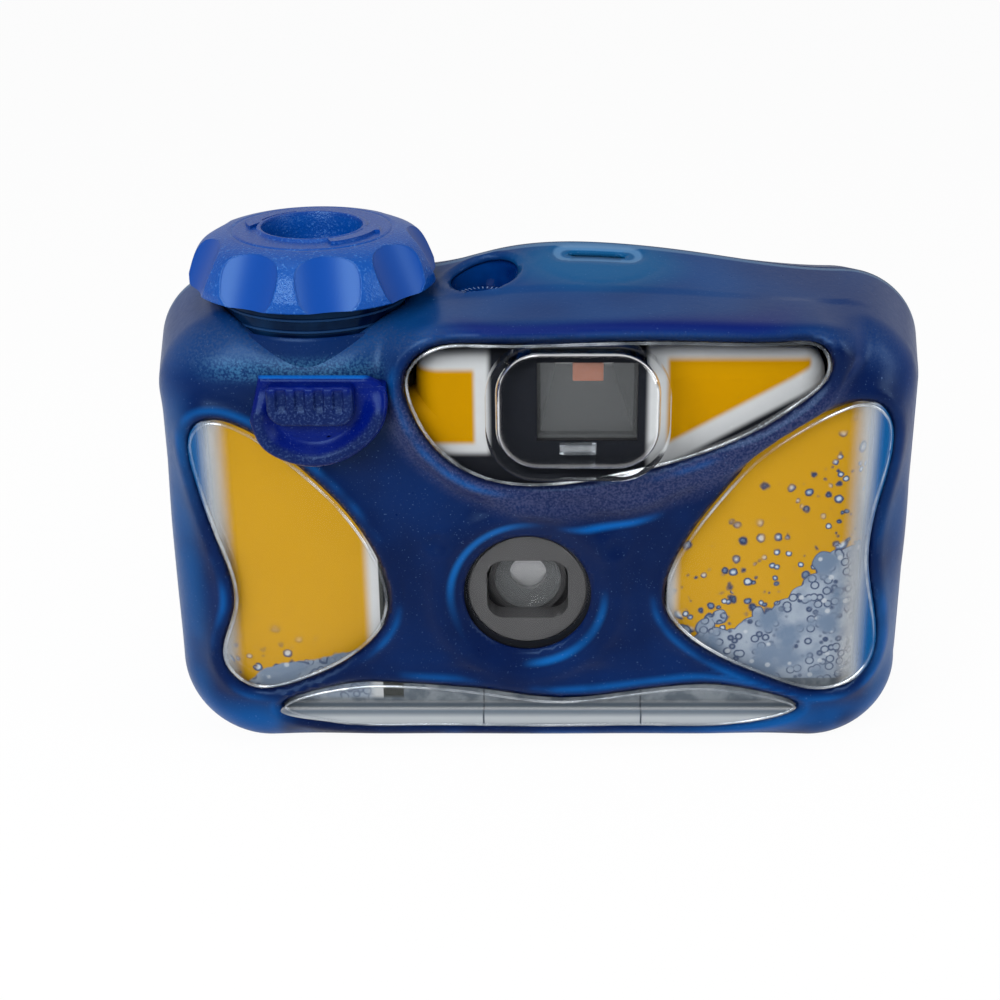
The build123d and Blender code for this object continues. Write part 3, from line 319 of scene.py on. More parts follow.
def setStage(settings):
    scene = bpy.context.scene
    scene.view_settings.view_transform = "Standard"
    world = bpy.data.worlds.new("studio")
    scene.world = world
    world.use_nodes = True
    tree = world.node_tree
    tree.nodes.clear()
    add = tree.nodes.new
    out, mix, path = add("ShaderNodeOutputWorld"), add("ShaderNodeMixShader"), add("ShaderNodeLightPath")
    soft, white = add("ShaderNodeBackground"), add("ShaderNodeBackground")
    seen, mirrored = add("ShaderNodeMath"), add("ShaderNodeMath")
    soft.inputs[0].default_value = (*settings["worldTint"], 1)
    soft.inputs[1].default_value = settings["worldStrength"]
    white.inputs[0].default_value = (1, 1, 1, 1)
    seen.operation, mirrored.operation = "MAXIMUM", "MULTIPLY_ADD"
    mirrored.use_clamp = True
    mirrored.inputs[1].default_value = settings["glossyWhite"]
    for source, target in (
        (path.outputs["Is Camera Ray"], seen.inputs[0]), (path.outputs["Is Transmission Ray"], seen.inputs[1]),
        (path.outputs["Is Glossy Ray"], mirrored.inputs[0]), (seen.outputs[0], mirrored.inputs[2]),
        (mirrored.outputs[0], mix.inputs[0]), (soft.outputs[0], mix.inputs[1]), (white.outputs[0], mix.inputs[2]),
        (mix.outputs[0], out.inputs[0]),
    ):
        tree.links.new(source, target)

    floor = Finish("paleFloor", rough=0.9)
    pale, vary, side = settings["floorColour"], settings["floorVary"], settings["floorReach"]
    floor.shade(colour=floor.mix(floor.noise(40, 2), (pale - vary,) * 3, (pale + vary,) * 3))
    floor.above("ShaderNodeEmission", 1 - floor.node("ShaderNodeLightPath") * settings["floorWhite"])
    corners = np.array([[-side, -side, 0], [side, -side, 0], [side, side, 0], [-side, side, 0]], dtype=float)
    mesh = bpy.data.meshes.new("floor")
    mesh.from_pydata((corners * mm).tolist(), [], [[0, 1, 2, 3]])
    mesh.materials.append(floor.material)
    ground = bpy.data.objects.new("floor", mesh)
    scene.collection.objects.link(ground)

    for name, place, aim, size, power in settings["lamps"]:
        data = bpy.data.lights.new(name, "AREA")
        data.shape = "RECTANGLE"
        data.size, data.size_y = size[0] * mm, size[1] * mm
        data.energy = power
        lamp = bpy.data.objects.new(name, data)
        scene.collection.objects.link(lamp)
        place, aim = np.array(place) * mm, np.array(aim) * mm
        lamp.location = place
        lamp.rotation_euler = aimAngles(aim - place)

    data = bpy.data.cameras.new("photographCamera")
    data.lens = settings["lens"]
    data.sensor_width = 36
    data.shift_x = settings["shiftX"]
    data.clip_start = 0.01
    camera = bpy.data.objects.new("photographCamera", data)
    scene.collection.objects.link(camera)
    camera.location = [v * mm for v in settings["camera"]]
    camera.rotation_euler = (math.radians(90 - settings["pitch"]), 0, 0)
    scene.camera = camera


def aimAngles(way):
    # the turn that points a lamp's -Z along way
    flat = math.hypot(way[0], way[1])
    return (math.atan2(flat, -way[2]), 0, math.atan2(way[1], way[0]) - math.pi / 2)


setStage(stageSet)
print("stage set")


# Finishes of the parts that keep their CAD shape

def plainPlastic(name, base, rough=0.45, grain=0.15, coat=0.0):
    made = Finish(name, rough=rough, coat=coat)
    cloud = made.noise(90, 4)
    fine = made.noise(2600, 2)
    made.shade(
        colour=made.mix(cloud, tuple(c * 0.82 for c in base), tuple(min(1, c * 1.15) for c in base)),
        rough=cloud.rise(0.2, 0.8) * 0.12 + (rough - 0.06),
    )
    made.bump(fine, grain, 0.00004)
    return made.material


def metalFinish(name, base, rough):
    made = Finish(name, metal=1.0, rough=rough)
    streak = made.drawn(260, 3, (1, 1, 40))
    made.shade(
        colour=made.mix(streak, tuple(c * 0.8 for c in base), base),
        rough=streak * 0.2 + (rough - 0.1),
    )
    made.bump(streak, 0.12, 0.00003)
    return made.material


def mirrorShare(made, inside=0.14):
    # how far a clear face mirrors: the outer Fresnel curve on both of its sides, and at most this share from inside
    facing = made.node("ShaderNodeLayerWeight", None, {"Blend": 0.5}, out=1)
    view = made.node("ShaderNodeFresnel", None, {"IOR": plasticIndex})
    return facing.math("POWER", 5.0).most((view - 0.041).most(0.0).least(inside))


def lensFinish():
    # thin clear plastic: what is behind shows, and the surface mirrors by its Fresnel share
    made = Finish("lensPlastic", rough=0.03, ior=plasticIndex)
    smudge = made.noise(60, 4)
    made.shade(colour=(0.3, 0.32, 0.33), rough=smudge.rise(0.55, 0.8) * 0.06 + 0.03)
    made.bump(made.noise(900, 2), 0.02, 0.00001)
    return made.above("ShaderNodeBsdfTransparent", mirrorShare(made) * 0.9 + 0.157 + smudge.rise(0.45, 0.9) * 0.02)


def dress(material, names):
    for node in names.split():
        mesh = nodes[node].data
        if not mesh.materials:
            mesh.materials.append(material)
        for number in range(len(mesh.materials)):
            mesh.materials[number] = material


dress(
    plainPlastic("blackPlastic", (0.018, 0.018, 0.02), 0.5),
    "camera_front_cover camera_rear_cover camera_chassis shutter_plate thumbwheel cartridge_spool cartridge_caps "
    "knob_shaft",
)
dress(
    plainPlastic("greyPlastic", (0.05, 0.05, 0.052), 0.38), "lens_hood film_sprocket release_button metering_lever",
)
dress(plainPlastic("whitePlastic", (0.72, 0.72, 0.69), 0.4), "counter_wheel")
dress(plainPlastic("sealRubber", (0.02, 0.021, 0.024), 0.7, 0.3), "housing_gasket knob_seal lever_boot")
dress(metalFinish("drawnSteel", (0.62, 0.62, 0.63), 0.32), "knob_clip shutter_blade cocking_lever")
dress(metalFinish("cartridgeSteel", (0.6, 0.46, 0.08), 0.35), "cartridge_can")
dress(plainPlastic("filmBase", (0.07, 0.035, 0.025), 0.22, 0.05, 0.4), "film_strip supply_roll")
dress(lensFinish(), "viewfinder_front_lens viewfinder_rear_lens taking_lens")
print("inner parts dressed")


# The housing's surface, its windows and what is moulded on it

caseSet = {
    "seam": 7.0, "halfSeam": 66.4, "topSeam": 80.8, "hump": 4.6, "upperRound": 14.0, "lowerRound": 15.0,
    "humpKnots": (-0.789, -0.42, -0.26, -0.10, 0.16, 0.43, 0.789), "humpShares": (0, 0.02, 0.20, 0.78, 1.0, 0.58, 0),
    "front": {"sign": -1, "face": -20.5, "end": -22.0, "half": 61.9, "top": 78.4, "round": 9.0, "humpDrop": 1.0},
    "back": {"sign": 1, "face": 19.5, "end": 19.5, "half": 62.4, "top": 78.4, "round": 8.0, "humpDrop": 0.5},
    "goggleRise": 1.5, "goggleRound": 3.6, "goggleBlend": 2.6, "goggleTop": (-25.0, -17.0, 47.0, 54.0),
    "step": 0.8, "skinWall": 1.1, "baseTrim": 0.3, "seamGap": 0.15,
}
windowShares = {
    "wing": (
        (-0.322, 0.892), (-0.268, 0.940), (-0.140, 0.953), (0.120, 0.956), (0.400, 0.957), (0.600, 0.957),
        (0.690, 0.945), (0.709, 0.903), (0.640, 0.826), (0.525, 0.762), (0.350, 0.701), (0.130, 0.656),
        (-0.030, 0.644), (-0.160, 0.668), (-0.265, 0.738), (-0.314, 0.815),
    ),
    "left": (
        (-0.821, 0.780), (-0.746, 0.770), (-0.625, 0.700), (-0.489, 0.582), (-0.405, 0.455), (-0.389, 0.347),
        (-0.468, 0.252), (-0.630, 0.178), (-0.762, 0.166), (-0.822, 0.225), (-0.788, 0.353), (-0.813, 0.507),
        (-0.863, 0.668), (-0.859, 0.755),
    ),
    "right": (
        (0.816, 0.821), (0.715, 0.800), (0.580, 0.730), (0.455, 0.616), (0.352, 0.478), (0.325, 0.359),
        (0.419, 0.264), (0.610, 0.184), (0.760, 0.158), (0.861, 0.215), (0.872, 0.322), (0.839, 0.467),
        (0.852, 0.600), (0.879, 0.724), (0.858, 0.797),
    ),
    "base": (
        (-0.678, 0.112), (-0.524, 0.164), (-0.366, 0.171), (-0.151, 0.154), (0.045, 0.133), (0.212, 0.147),
        (0.369, 0.164), (0.527, 0.157), (0.681, 0.112), (0.572, 0.074), (0.301, 0.060), (0.002, 0.057),
        (-0.301, 0.060), (-0.572, 0.074),
    ),
    "rear": (
        (-0.640, 0.600), (-0.300, 0.640), (0.000, 0.620), (0.300, 0.640), (0.640, 0.600), (0.720, 0.400),
        (0.640, 0.200), (0.000, 0.170), (-0.640, 0.200), (-0.720, 0.400),
    ),
}
goggleShares = (
    (-0.350, 0.880), (-0.345, 0.790), (-0.256, 0.686), (-0.118, 0.612), (0.053, 0.583), (0.253, 0.602),
    (0.401, 0.652), (0.545, 0.726), (0.700, 0.829), (0.768, 0.916),
)
caseScale = np.array([caseSet["halfSeam"], caseSet["topSeam"]])
outlines = {name: curveThrough(np.array(shares) * caseScale, 260) for name, shares in windowShares.items()}
goggleLine = curveThrough(np.array(goggleShares) * caseScale, 120, closed=False)
goggleOutline = np.vstack([goggleLine, [[goggleLine[-1, 0], 130.0], [goggleLine[0, 0], 130.0]]])


def caseSizes(side, inward):
    # half width, top and hump of the section that lies inward of the face
    s = caseSet[side]
    reach = (abs(s["face"] - caseSet["seam"]) - inward) / abs(s["end"] - caseSet["seam"])
    half = caseSet["halfSeam"] + (s["half"] - caseSet["halfSeam"]) * reach
    top = caseSet["topSeam"] + (s["top"] - caseSet["topSeam"]) * reach
    return half, top, caseSet["hump"] * (1 - reach * s["humpDrop"])


def caseCore(side, a, b):
    # the nearest point of the core outline, where the edge's arc begins, the corner's radius and the core's sizes
    half, top, _ = caseSizes(side, 0.0)
    corner = np.where(b > top / 2, caseSet["upperRound"], caseSet["lowerRound"]) - caseSet[side]["round"]
    wide = half - caseSet[side]["round"] - corner
    low, high = caseSet["lowerRound"] - caseSet["baseTrim"], top - caseSet["upperRound"]
    return np.clip(a, -wide, wide), np.clip(b, low, high), corner, wide, low, high


def caseSurface(side, a, b):
    # the rounded box unrolled onto a plane: flat inside the core outline, then round the edge's arc, then back along
    # the drafted wall to the seam, with the hump growing towards the seam; returns the point's x, y and z
    s = caseSet[side]
    r = s["round"]
    half0, top0, _ = caseSizes(side, 0.0)
    ix, iz, corner, wide, low, high = caseCore(side, a, b)
    vx, vz = a - ix, b - iz
    gap = np.hypot(vx, vz)
    beyond = np.maximum(gap - corner, 0)
    safe = np.maximum(gap, 1e-9)
    nx, nz = vx / safe, vz / safe
    quarter = r * math.pi / 2
    turn = np.clip(beyond / quarter, 0, 1)
    inward, out = r * (1 - np.cos(turn * math.pi / 2)), r * np.sin(turn * math.pi / 2)
    if side == "front":
        small = caseSet["goggleRound"]
        run = turn * (2 * (r - small) + small * math.pi / 2)
        bend = np.clip((run - (r - small)) / small, 0, math.pi / 2)
        after = np.maximum(run - (r - small) - small * math.pi / 2, 0)
        inward2 = small * (1 - np.cos(bend)) + after
        out2 = np.minimum(run, r - small) + small * np.sin(bend)
        lo, up, down, end = caseSet["goggleTop"]
        share = smoothStep(lo, up, a) * (1 - smoothStep(down, end, a)) * np.clip(nz, 0, 1)
        inward, out = inward + (inward2 - inward) * share, out + (out2 - out) * share
    inward = inward + np.maximum(beyond - quarter, 0)
    half, top, hump = caseSizes(side, inward)
    x = ix + nx * (np.minimum(gap, corner) + out) + ix / wide * (half - half0) * (beyond > 0)
    fz = (iz - low) / (high - low)
    z = iz + nz * (np.minimum(gap, corner) + out) + fz * (top - top0)
    profile = levelCurve(caseSet["humpKnots"], caseSet["humpShares"], x / half)
    z = np.maximum(z + profile * hump * smoothStep(0.55 * high, high, b), 0)
    y = s["face"] - s["sign"] * inward
    if side == "front":
        rise = 1 - smoothStep(-0.4, caseSet["goggleBlend"], lineGap(goggleOutline, z > 40, x, z))
        y = y - caseSet["goggleRise"] * rise * (1 - smoothStep(0, 17, inward))
    return np.stack([x, y, z], -1)


def caseNormal(side, a, b, base):
    # outward normal from two small steps over the surface
    d = 0.06
    u = caseSurface(side, a + d, b) - base
    v = caseSurface(side, a, b + d) - base
    n = np.cross(u, v) * (1 if side == "front" else -1)
    return n / np.maximum(np.linalg.norm(n, axis=-1, keepdims=True), 1e-12)


def seamReach(side):
    # how far beyond the core outline the seam lies on the unrolled plane
    s = caseSet[side]
    return s["round"] * math.pi / 2 + abs(s["face"] - caseSet["seam"]) - s["round"]


def coreGap(side, a, b):
    # distance beyond the core outline on the unrolled plane
    ix, iz, corner = caseCore(side, a, b)[:3]
    return np.hypot(a - ix, b - iz) - corner


# Lens ring, dimples and small marks moulded into the skin; outline places of its round openings
reliefSet = {
    "lens": (-2.0, 31.0), "lensFar": 90.0, "portRadius": 10.9, "flareRadius": 14.1, "flareDepth": 1.2,
    "ringRadius": 15.6, "ringRise": 0.55, "ringWidth": 1.5, "moat": 19.5, "moatDepth": 0.35, "moatWidth": 2.2,
    "dimples": ((-17.1, 40.9), (12.8, 40.2)), "dimpleRadius": 2.3, "dimpleRise": 0.3,
    "tabs": ((-16.3, 18.5), (11.9, 18.9)), "tabRadius": 1.5, "tabRise": 0.3,
    "lipRise": 0.45, "lipAt": 1.6, "lipWidth": 1.3, "creaseDepth": 0.4, "creaseAt": 5.2, "creaseWidth": 2.4,
    "edgeDrop": 0.55, "edgeWidth": 1.1,
    "ledge": ((-26.0, 17.4, -10.5, 0.22), (10.0, 17.2, 27.0, 0.22)),
    "knob": (-37.5, -3.5, 15.9), "counter": (-9.3, -1.0, 5.7), "slot": (10.0, 3.6, 15.2, 5.6, 0.45),
    "slotHole": (10.0, 3.6, 10.3, 1.7), "bulge": (6.4, 65.8, 14.95, 11.5, 8.6),
    "eyepiece": (8.0, 65.2, 11.1, 7.8, 4.1),
}


def roundedDistance(x, z, cx, cz, halfWide, halfHigh, corner):
    # signed distance to a rounded rectangle
    qx, qz = np.abs(x - cx) - halfWide + corner, np.abs(z - cz) - halfHigh + corner
    return np.hypot(np.maximum(qx, 0), np.maximum(qz, 0)) + np.minimum(np.maximum(qx, qz), 0) - corner


farAway = 50.0


def lineGap(outline, where, x, z):
    # signed distance to an outline, worked out only where it matters
    gap = np.full(x.shape, farAway)
    gap[where] = outlineDistance(outline, x[where], z[where])
    return gap


def roundGap(name, where, x, y):
    # signed distance to a round opening in the top
    cx, cy, radius = reliefSet[name]
    return np.where(where, np.hypot(x - cx, y - cy) - radius, farAway)


def slotGap(name, x, y):
    cx, cy, long, wide = reliefSet[name][:4]
    return roundedDistance(x, y, cx, cy, long / 2, wide / 2, wide / 2)


def frontGaps(point):
    # signed distances from a front point to each window and opening
    x, y, z = np.moveaxis(point, -1, 0)
    face, top = y < -8, z > 60
    gaps = {name: lineGap(outlines[name], face, x, z) for name in ("wing", "left", "right", "base")}
    lx, lz = reliefSet["lens"]
    gaps["lens"] = np.where(face, np.hypot(x - lx, z - lz), reliefSet["lensFar"])
    for name in ("knob", "counter"):
        gaps[name] = roundGap(name, top, x, y)
    gaps["slot"] = np.where(top, slotGap("slotHole", x, y), farAway)
    return gaps


def lipRelief(gaps, strengths):
    # a lip round each opening, a crease behind it and a dropped edge
    s = reliefSet
    rise = 0
    for name, strength in strengths.items():
        gap = np.maximum(gaps[name], 0)
        rise += strength * s["lipRise"] * bell(gap, s["lipAt"], s["lipWidth"])
        rise -= strength * s["creaseDepth"] * bell(gap, s["creaseAt"], s["creaseWidth"])
        rise -= s["edgeDrop"] * (1 - smoothStep(0, s["edgeWidth"], gap))
    return rise


def collarRelief(gaps):
    # a low swell round the knob's collar
    return 0.3 * bell(gaps["knob"], 1.6, 1.2)


def frontRelief(point, gaps):
    # how far the skin stands proud of the plain case: lips round the windows, creases, lens ring, dimples
    x, y, z = np.moveaxis(point, -1, 0)
    s = reliefSet
    rise = lipRelief(gaps, {"wing": 0.7, "left": 1.0, "right": 1.0, "base": 0.6})
    r = gaps["lens"]
    rise += s["ringRise"] * bell(r, s["ringRadius"], s["ringWidth"])
    rise -= s["moatDepth"] * bell(r, s["moat"], s["moatWidth"])
    rise -= s["flareDepth"] * (1 - smoothStep(s["portRadius"] - 0.6, s["flareRadius"] + 0.4, r))
    front = y < -15
    for dx, dz in s["dimples"]:
        d = np.hypot(x - dx, z - dz)
        rise += np.where(front, s["dimpleRise"] * (bell(d, s["dimpleRadius"], 0.6) - 0.8 * bell(d, 0, 1.1)), 0)
    for dx, dz in s["tabs"]:
        rise += np.where(front, s["tabRise"] * bell(np.hypot((x - dx) / 1.6, z - dz), 0, s["tabRadius"]), 0)
    for x0, z0, x1, high in s["ledge"]:
        along = smoothStep(x0 - 2, x0, x) * (1 - smoothStep(x1, x1 + 2, x))
        rise += np.where(front, high * along * (smoothStep(z0 - 0.9, z0, z) - smoothStep(z0, z0 + 4, z)), 0)
    top = z > 70
    sx, sy, deep = s["slot"][0], s["slot"][1], s["slot"][4]
    rise -= np.where(top, deep * (1 - smoothStep(-0.5, 0.3, slotGap("slot", x, y))), 0)
    oval = np.hypot((x - sx) / 11.0, (y - sy) / 10.0) * 10.5 - 10.5
    rise -= np.where(top & (y < 4), 0.18 * bell(oval, 0, 0.35), 0)
    well = 0.25 * bell(gaps["counter"], 1.0, 0.7) - 0.5 * (1 - smoothStep(0, 0.9, gaps["counter"]))
    return rise + np.where(top, well + collarRelief(gaps), 0)


def snapGrid(a, b, value):
    # moves grid points onto the zero line of value: where an edge crosses it, the nearer end slides to the crossing
    f = value(a, b)
    best = np.full(a.shape, 9.0)
    moveA, moveB = np.zeros_like(a), np.zeros_like(b)
    for dr, dc in ((0, 1), (0, -1), (1, 0), (-1, 0)):
        na, nb, nf = (np.roll(v, (-dr, -dc), (0, 1)) for v in (a, b, f))
        edge = np.ones(a.shape, dtype=bool)
        if dc:
            edge[:, -1 if dc > 0 else 0] = False
        else:
            edge[-1 if dr > 0 else 0] = False
        cross = edge & (f * nf < 0)
        share = np.where(cross, f / np.where(cross, f - nf, 1), 9.0)
        take = (share <= 0.5) & (share < best)
        best = np.where(take, share, best)
        moveA, moveB = np.where(take, share * (na - a), moveA), np.where(take, share * (nb - b), moveB)
    snapped = best < 9
    a, b = a + moveA, b + moveB
    d, limit = 0.05, 0.3
    for _ in range(2):
        sa, sb = a[snapped], b[snapped]
        f0 = value(sa, sb)
        ga, gb = (value(sa + d, sb) - f0) / d, (value(sa, sb + d) - f0) / d
        size2 = np.maximum(ga ** 2 + gb ** 2, 0.05)
        a[snapped] = sa - np.clip(f0 * ga / size2, -limit, limit)
        b[snapped] = sb - np.clip(f0 * gb / size2, -limit, limit)
    f = value(a, b)
    f[snapped] = 0
    return a, b, f


def keptFaces(sign, quads):
    # quads whose corners are all kept, and the triangles left where one corner is cut away; sign is -1, 0 or 1
    s = sign.ravel()[quads]
    whole = (s.min(1) >= 0) & (s.max(1) > 0)
    blocks = [quads[whole]]
    for k in range(4):
        left, right, far = (k + 3) % 4, (k + 1) % 4, (k + 2) % 4
        part = (s[:, k] == 1) & (s[:, far] == -1) & (s[:, left] == 0) & (s[:, right] == 0)
        blocks.append(quads[part][:, [left, k, right]])
    return blocks


def usedOnly(points, blocks, fields):
    # drops the grid points that no kept face uses
    used = np.unique(np.concatenate([block.ravel() for block in blocks]))
    place = np.full(len(points), -1)
    place[used] = np.arange(len(used))
    return points[used], [place[block] for block in blocks], {k: v[used] for k, v in fields.items()}


def skinValue(side, a, b):
    # below zero where the skin is cut away: its openings, and beyond the seam
    point = caseSurface(side, a, b)
    cut = seamReach(side) - caseSet["seamGap"] - coreGap(side, a, b)
    gaps = frontGaps(point) if side == "front" else backGaps(point)
    for name, gap in gaps.items():
        cut = np.minimum(cut, gap - (reliefSet["portRadius"] if name == "lens" else 0))
    return cut


def skinGrid(side):
    # the grid of one half, snapped to the openings, with its relief and its fields
    step = caseSet["step"]
    spare = seamReach(side) - caseSet[side]["round"] + 6
    wide, high = caseSet["halfSeam"] + spare, caseSet["topSeam"] + spare
    a, b = np.meshgrid(np.arange(-wide, wide, step), np.arange(-spare, high, step))
    a, b, value = snapGrid(a, b, lambda u, v: skinValue(side, u, v))
    base = caseSurface(side, a, b)
    normal = caseNormal(side, a, b, base)
    gaps = frontGaps(base) if side == "front" else backGaps(base)
    if side == "front":
        relief = frontRelief(base, gaps)
    else:
        relief = lipRelief(gaps, {"rear": 1.0, "eyepiece": 0.8}) + collarRelief(gaps)
    sign = np.where(np.abs(value) < 1e-6, 0, np.sign(value)).astype(int)
    quads = gridFaces(*a.shape)
    if side == "back":
        quads = quads[:, ::-1]
    return base, normal, gaps, relief, sign, quads


def maskGap(point):
    # distance outside the raised mask round the wing window
    x, y, z = np.moveaxis(point, -1, 0)
    return np.maximum(lineGap(goggleOutline, (y < -8) & (z > 36), x, z), 0)


def buildSkin(side, name, replaced, material):
    base, normal, gaps, relief, sign, quads = skinGrid(side)
    points = base + normal * relief[..., None]
    points[..., 2] = np.maximum(points[..., 2], 0)
    blocks = keptFaces(sign, quads)
    windows = np.minimum.reduce([gaps[k] for k in gaps if k in windowShares])
    # up and side say how far the surface faces up and sideways; the finish paints top light and side light by them
    fields = {
        "windowGap": windows.ravel(), "lensGap": gaps.get("lens", windows + reliefSet["lensFar"]).ravel(),
        "up": np.clip(normal[..., 2], 0, 1).ravel(), "side": np.abs(normal[..., 0]).ravel(),
        "maskGap": maskGap(base).ravel(),
    }
    points, blocks, fields = usedOnly(points.reshape(-1, 3), blocks, fields)
    piece = addMesh(name, points, blocks, material, "housing", (replaced,), sharp=40, fields=fields)
    solid = piece.modifiers.new("wall", "SOLIDIFY")
    solid.thickness, solid.offset, solid.use_even_offset = caseSet["skinWall"] * mm, -1.0, False


def backGaps(point):
    # signed distances from a back point to the rear window, the eyepiece and the knob's collar
    x, y, z = np.moveaxis(point, -1, 0)
    face = y > 11
    eye = np.where(face, roundedDistance(x, z, *reliefSet["eyepiece"]), farAway)
    return {"rear": lineGap(outlines["rear"], face, x, z), "eyepiece": eye, "knob": roundGap("knob", z > 60, x, y)}


# Collar: the clear neck under the knob with its fine rings, and the skin's upright lip round its foot

collarSet = {
    "columns": 160,
    "collarNeck": (
        (15.0, 74.0), (15.62, 74.0), (15.62, 77.6), (15.8, 77.75), (15.8, 78.05), (15.62, 78.2), (15.62, 79.5),
        (15.8, 79.65), (15.8, 79.95), (15.62, 80.1), (15.62, 81.6), (15.55, 81.9), (15.4, 82.05), (15.0, 82.1),
    ),
    "collarLip": (
        (15.95, 66.0), (16.72, 66.0), (16.72, 70.0), (16.72, 73.0), (16.7, 76.4), (16.6, 76.9), (16.4, 77.15),
        (16.25, 77.15), (16.05, 76.95), (15.95, 76.5), (15.95, 72.0),
    ),
}


def ringPoints(radius, height, turn):
    # points round the knob's axis; radius, height and turn as arrays that fit together
    x, y = reliefSet["knob"][:2]
    places = np.broadcast_arrays(x + radius * np.cos(turn), y + radius * np.sin(turn), height)
    return np.stack(places, -1).reshape(-1, 3)


def buildRing(name, material, **plain):
    # a closed profile of radius and height carried round the knob's axis
    radius, height = np.array(collarSet[name]).T[..., None]
    rows, columns = len(radius), collarSet["columns"]
    points = ringPoints(radius, height, np.linspace(0, 2 * math.pi, columns, endpoint=False))
    fields = {key: np.full(rows * columns, value) for key, value in plain.items()}
    faces = gridFaces(rows, columns, True, True)[:, ::-1]
    addMesh(name, points, [faces], material, "housing", sharp=30, fields=fields)


# Winding knob: a profile carried round the axis, with leaning round cutters for the flutes

knobSet = {
    "bottom": 82.4, "top": 91.4, "rim": 20.6, "rimHigh": 1.6, "plate": 13.2,
    "plateTop": 90.9, "shoulder": (17.79, 89.3), "cup": 8.2, "cupFloor": 86.3, "lip": 9.1, "hole": 3.05,
    "cavity": 16.5, "under": 84.9, "flutes": 9, "fluteStart": 0.1, "fluteRadius": 11.0, "fluteFoot": 18.35,
    "fluteLean": 0.5, "soften": 0.06, "valleyEdge": 0.25, "columns": 15,
    "markFrom": 293.0, "markSweep": 50.0, "markWide": 2.0,
    "markRise": 0.48, "markHead": 0.72,
}


def knobProfile(s):
    # half section from the shaft hole over the cup, lip, plate and dome, down the skirt and back under
    hole, cup, floor, lip, plate, high = (s[key] for key in ("hole", "cup", "cupFloor", "lip", "plate", "plateTop"))
    rim, low, cavity, under, top = (s[key] for key in ("rim", "bottom", "cavity", "under", "top"))
    dome = curveThrough(((plate, high), s["shoulder"], (rim, low + s["rimHigh"])), 26, False)
    over = (
        (hole, floor), (5.0, floor), (cup - 0.5, floor), (cup - 0.15, floor + 0.12), (cup, floor + 0.5), (cup, 88.5),
        (cup + 0.05, top - 0.5), (cup + 0.2, top - 0.1), (cup + 0.45, top), (lip - 0.25, top - 0.02),
        (lip - 0.04, top - 0.15), (lip + 0.08, high + 0.12), (lip + 0.3, high), (9.8, high), (10.5, high),
        (11.2, high), (12.0, high), (plate - 0.5, high), (plate - 0.22, high - 0.05), (plate - 0.05, high - 0.22),
    )
    down = (
        (rim, low + 0.8), (rim, low + 0.25), (rim - 0.2, low + 0.04), (rim - 0.5, low), (cavity + 0.3, low),
        (cavity, low + 0.3), (cavity, under - 0.2), (cavity - 0.2, under), (8.0, under), (hole, under),
    )
    return np.vstack([over, dome[1:], down])


def onCase(side, x, z, rounds=40):
    # the unrolled place of points given by their x and z, by stepping towards them
    a, b = x.copy(), z.copy()
    for _ in range(rounds):
        point = caseSurface(side, a, b)
        a, b = a + 0.9 * (x - point[..., 0]), b + 0.9 * (z - point[..., 2])
    return a, b


def buildBeads(side, names, inset, radius, material):
    # the bright raised edge of each clear pane: a fine round bead just inside the skin's opening
    parts, columns = [], 10
    turn = np.linspace(0, 2 * math.pi, columns, endpoint=False)[None, :, None]
    for name in names:
        line = outlines[name]
        run = np.roll(line, -1, 0) - np.roll(line, 1, 0)
        run = run / np.linalg.norm(run, axis=1, keepdims=True)
        inner = np.stack([-run[:, 1], run[:, 0]], 1)
        probe = line + inner * 0.5
        if outlineDistance(line, probe[:1, 0], probe[:1, 1])[0] > 0:
            inner = -inner
        place = line + inner * inset
        a, b = onCase(side, place[:, 0], place[:, 1])
        base = caseSurface(side, a, b)
        normal = caseNormal(side, a, b, base)
        ahead = np.roll(base, -1, 0) - np.roll(base, 1, 0)
        ahead = ahead / np.linalg.norm(ahead, axis=1, keepdims=True)
        across = np.cross(normal, ahead)
        ring = base[:, None] + radius * (np.cos(turn) * across[:, None] + np.sin(turn) * normal[:, None])
        parts.append((ring.reshape(-1, 3), [gridFaces(len(line), columns, True, True)]))
    points, faces = joinParts(parts)
    addMesh(f"{side}Beads", points, faces, material, "housing", sharp=0)


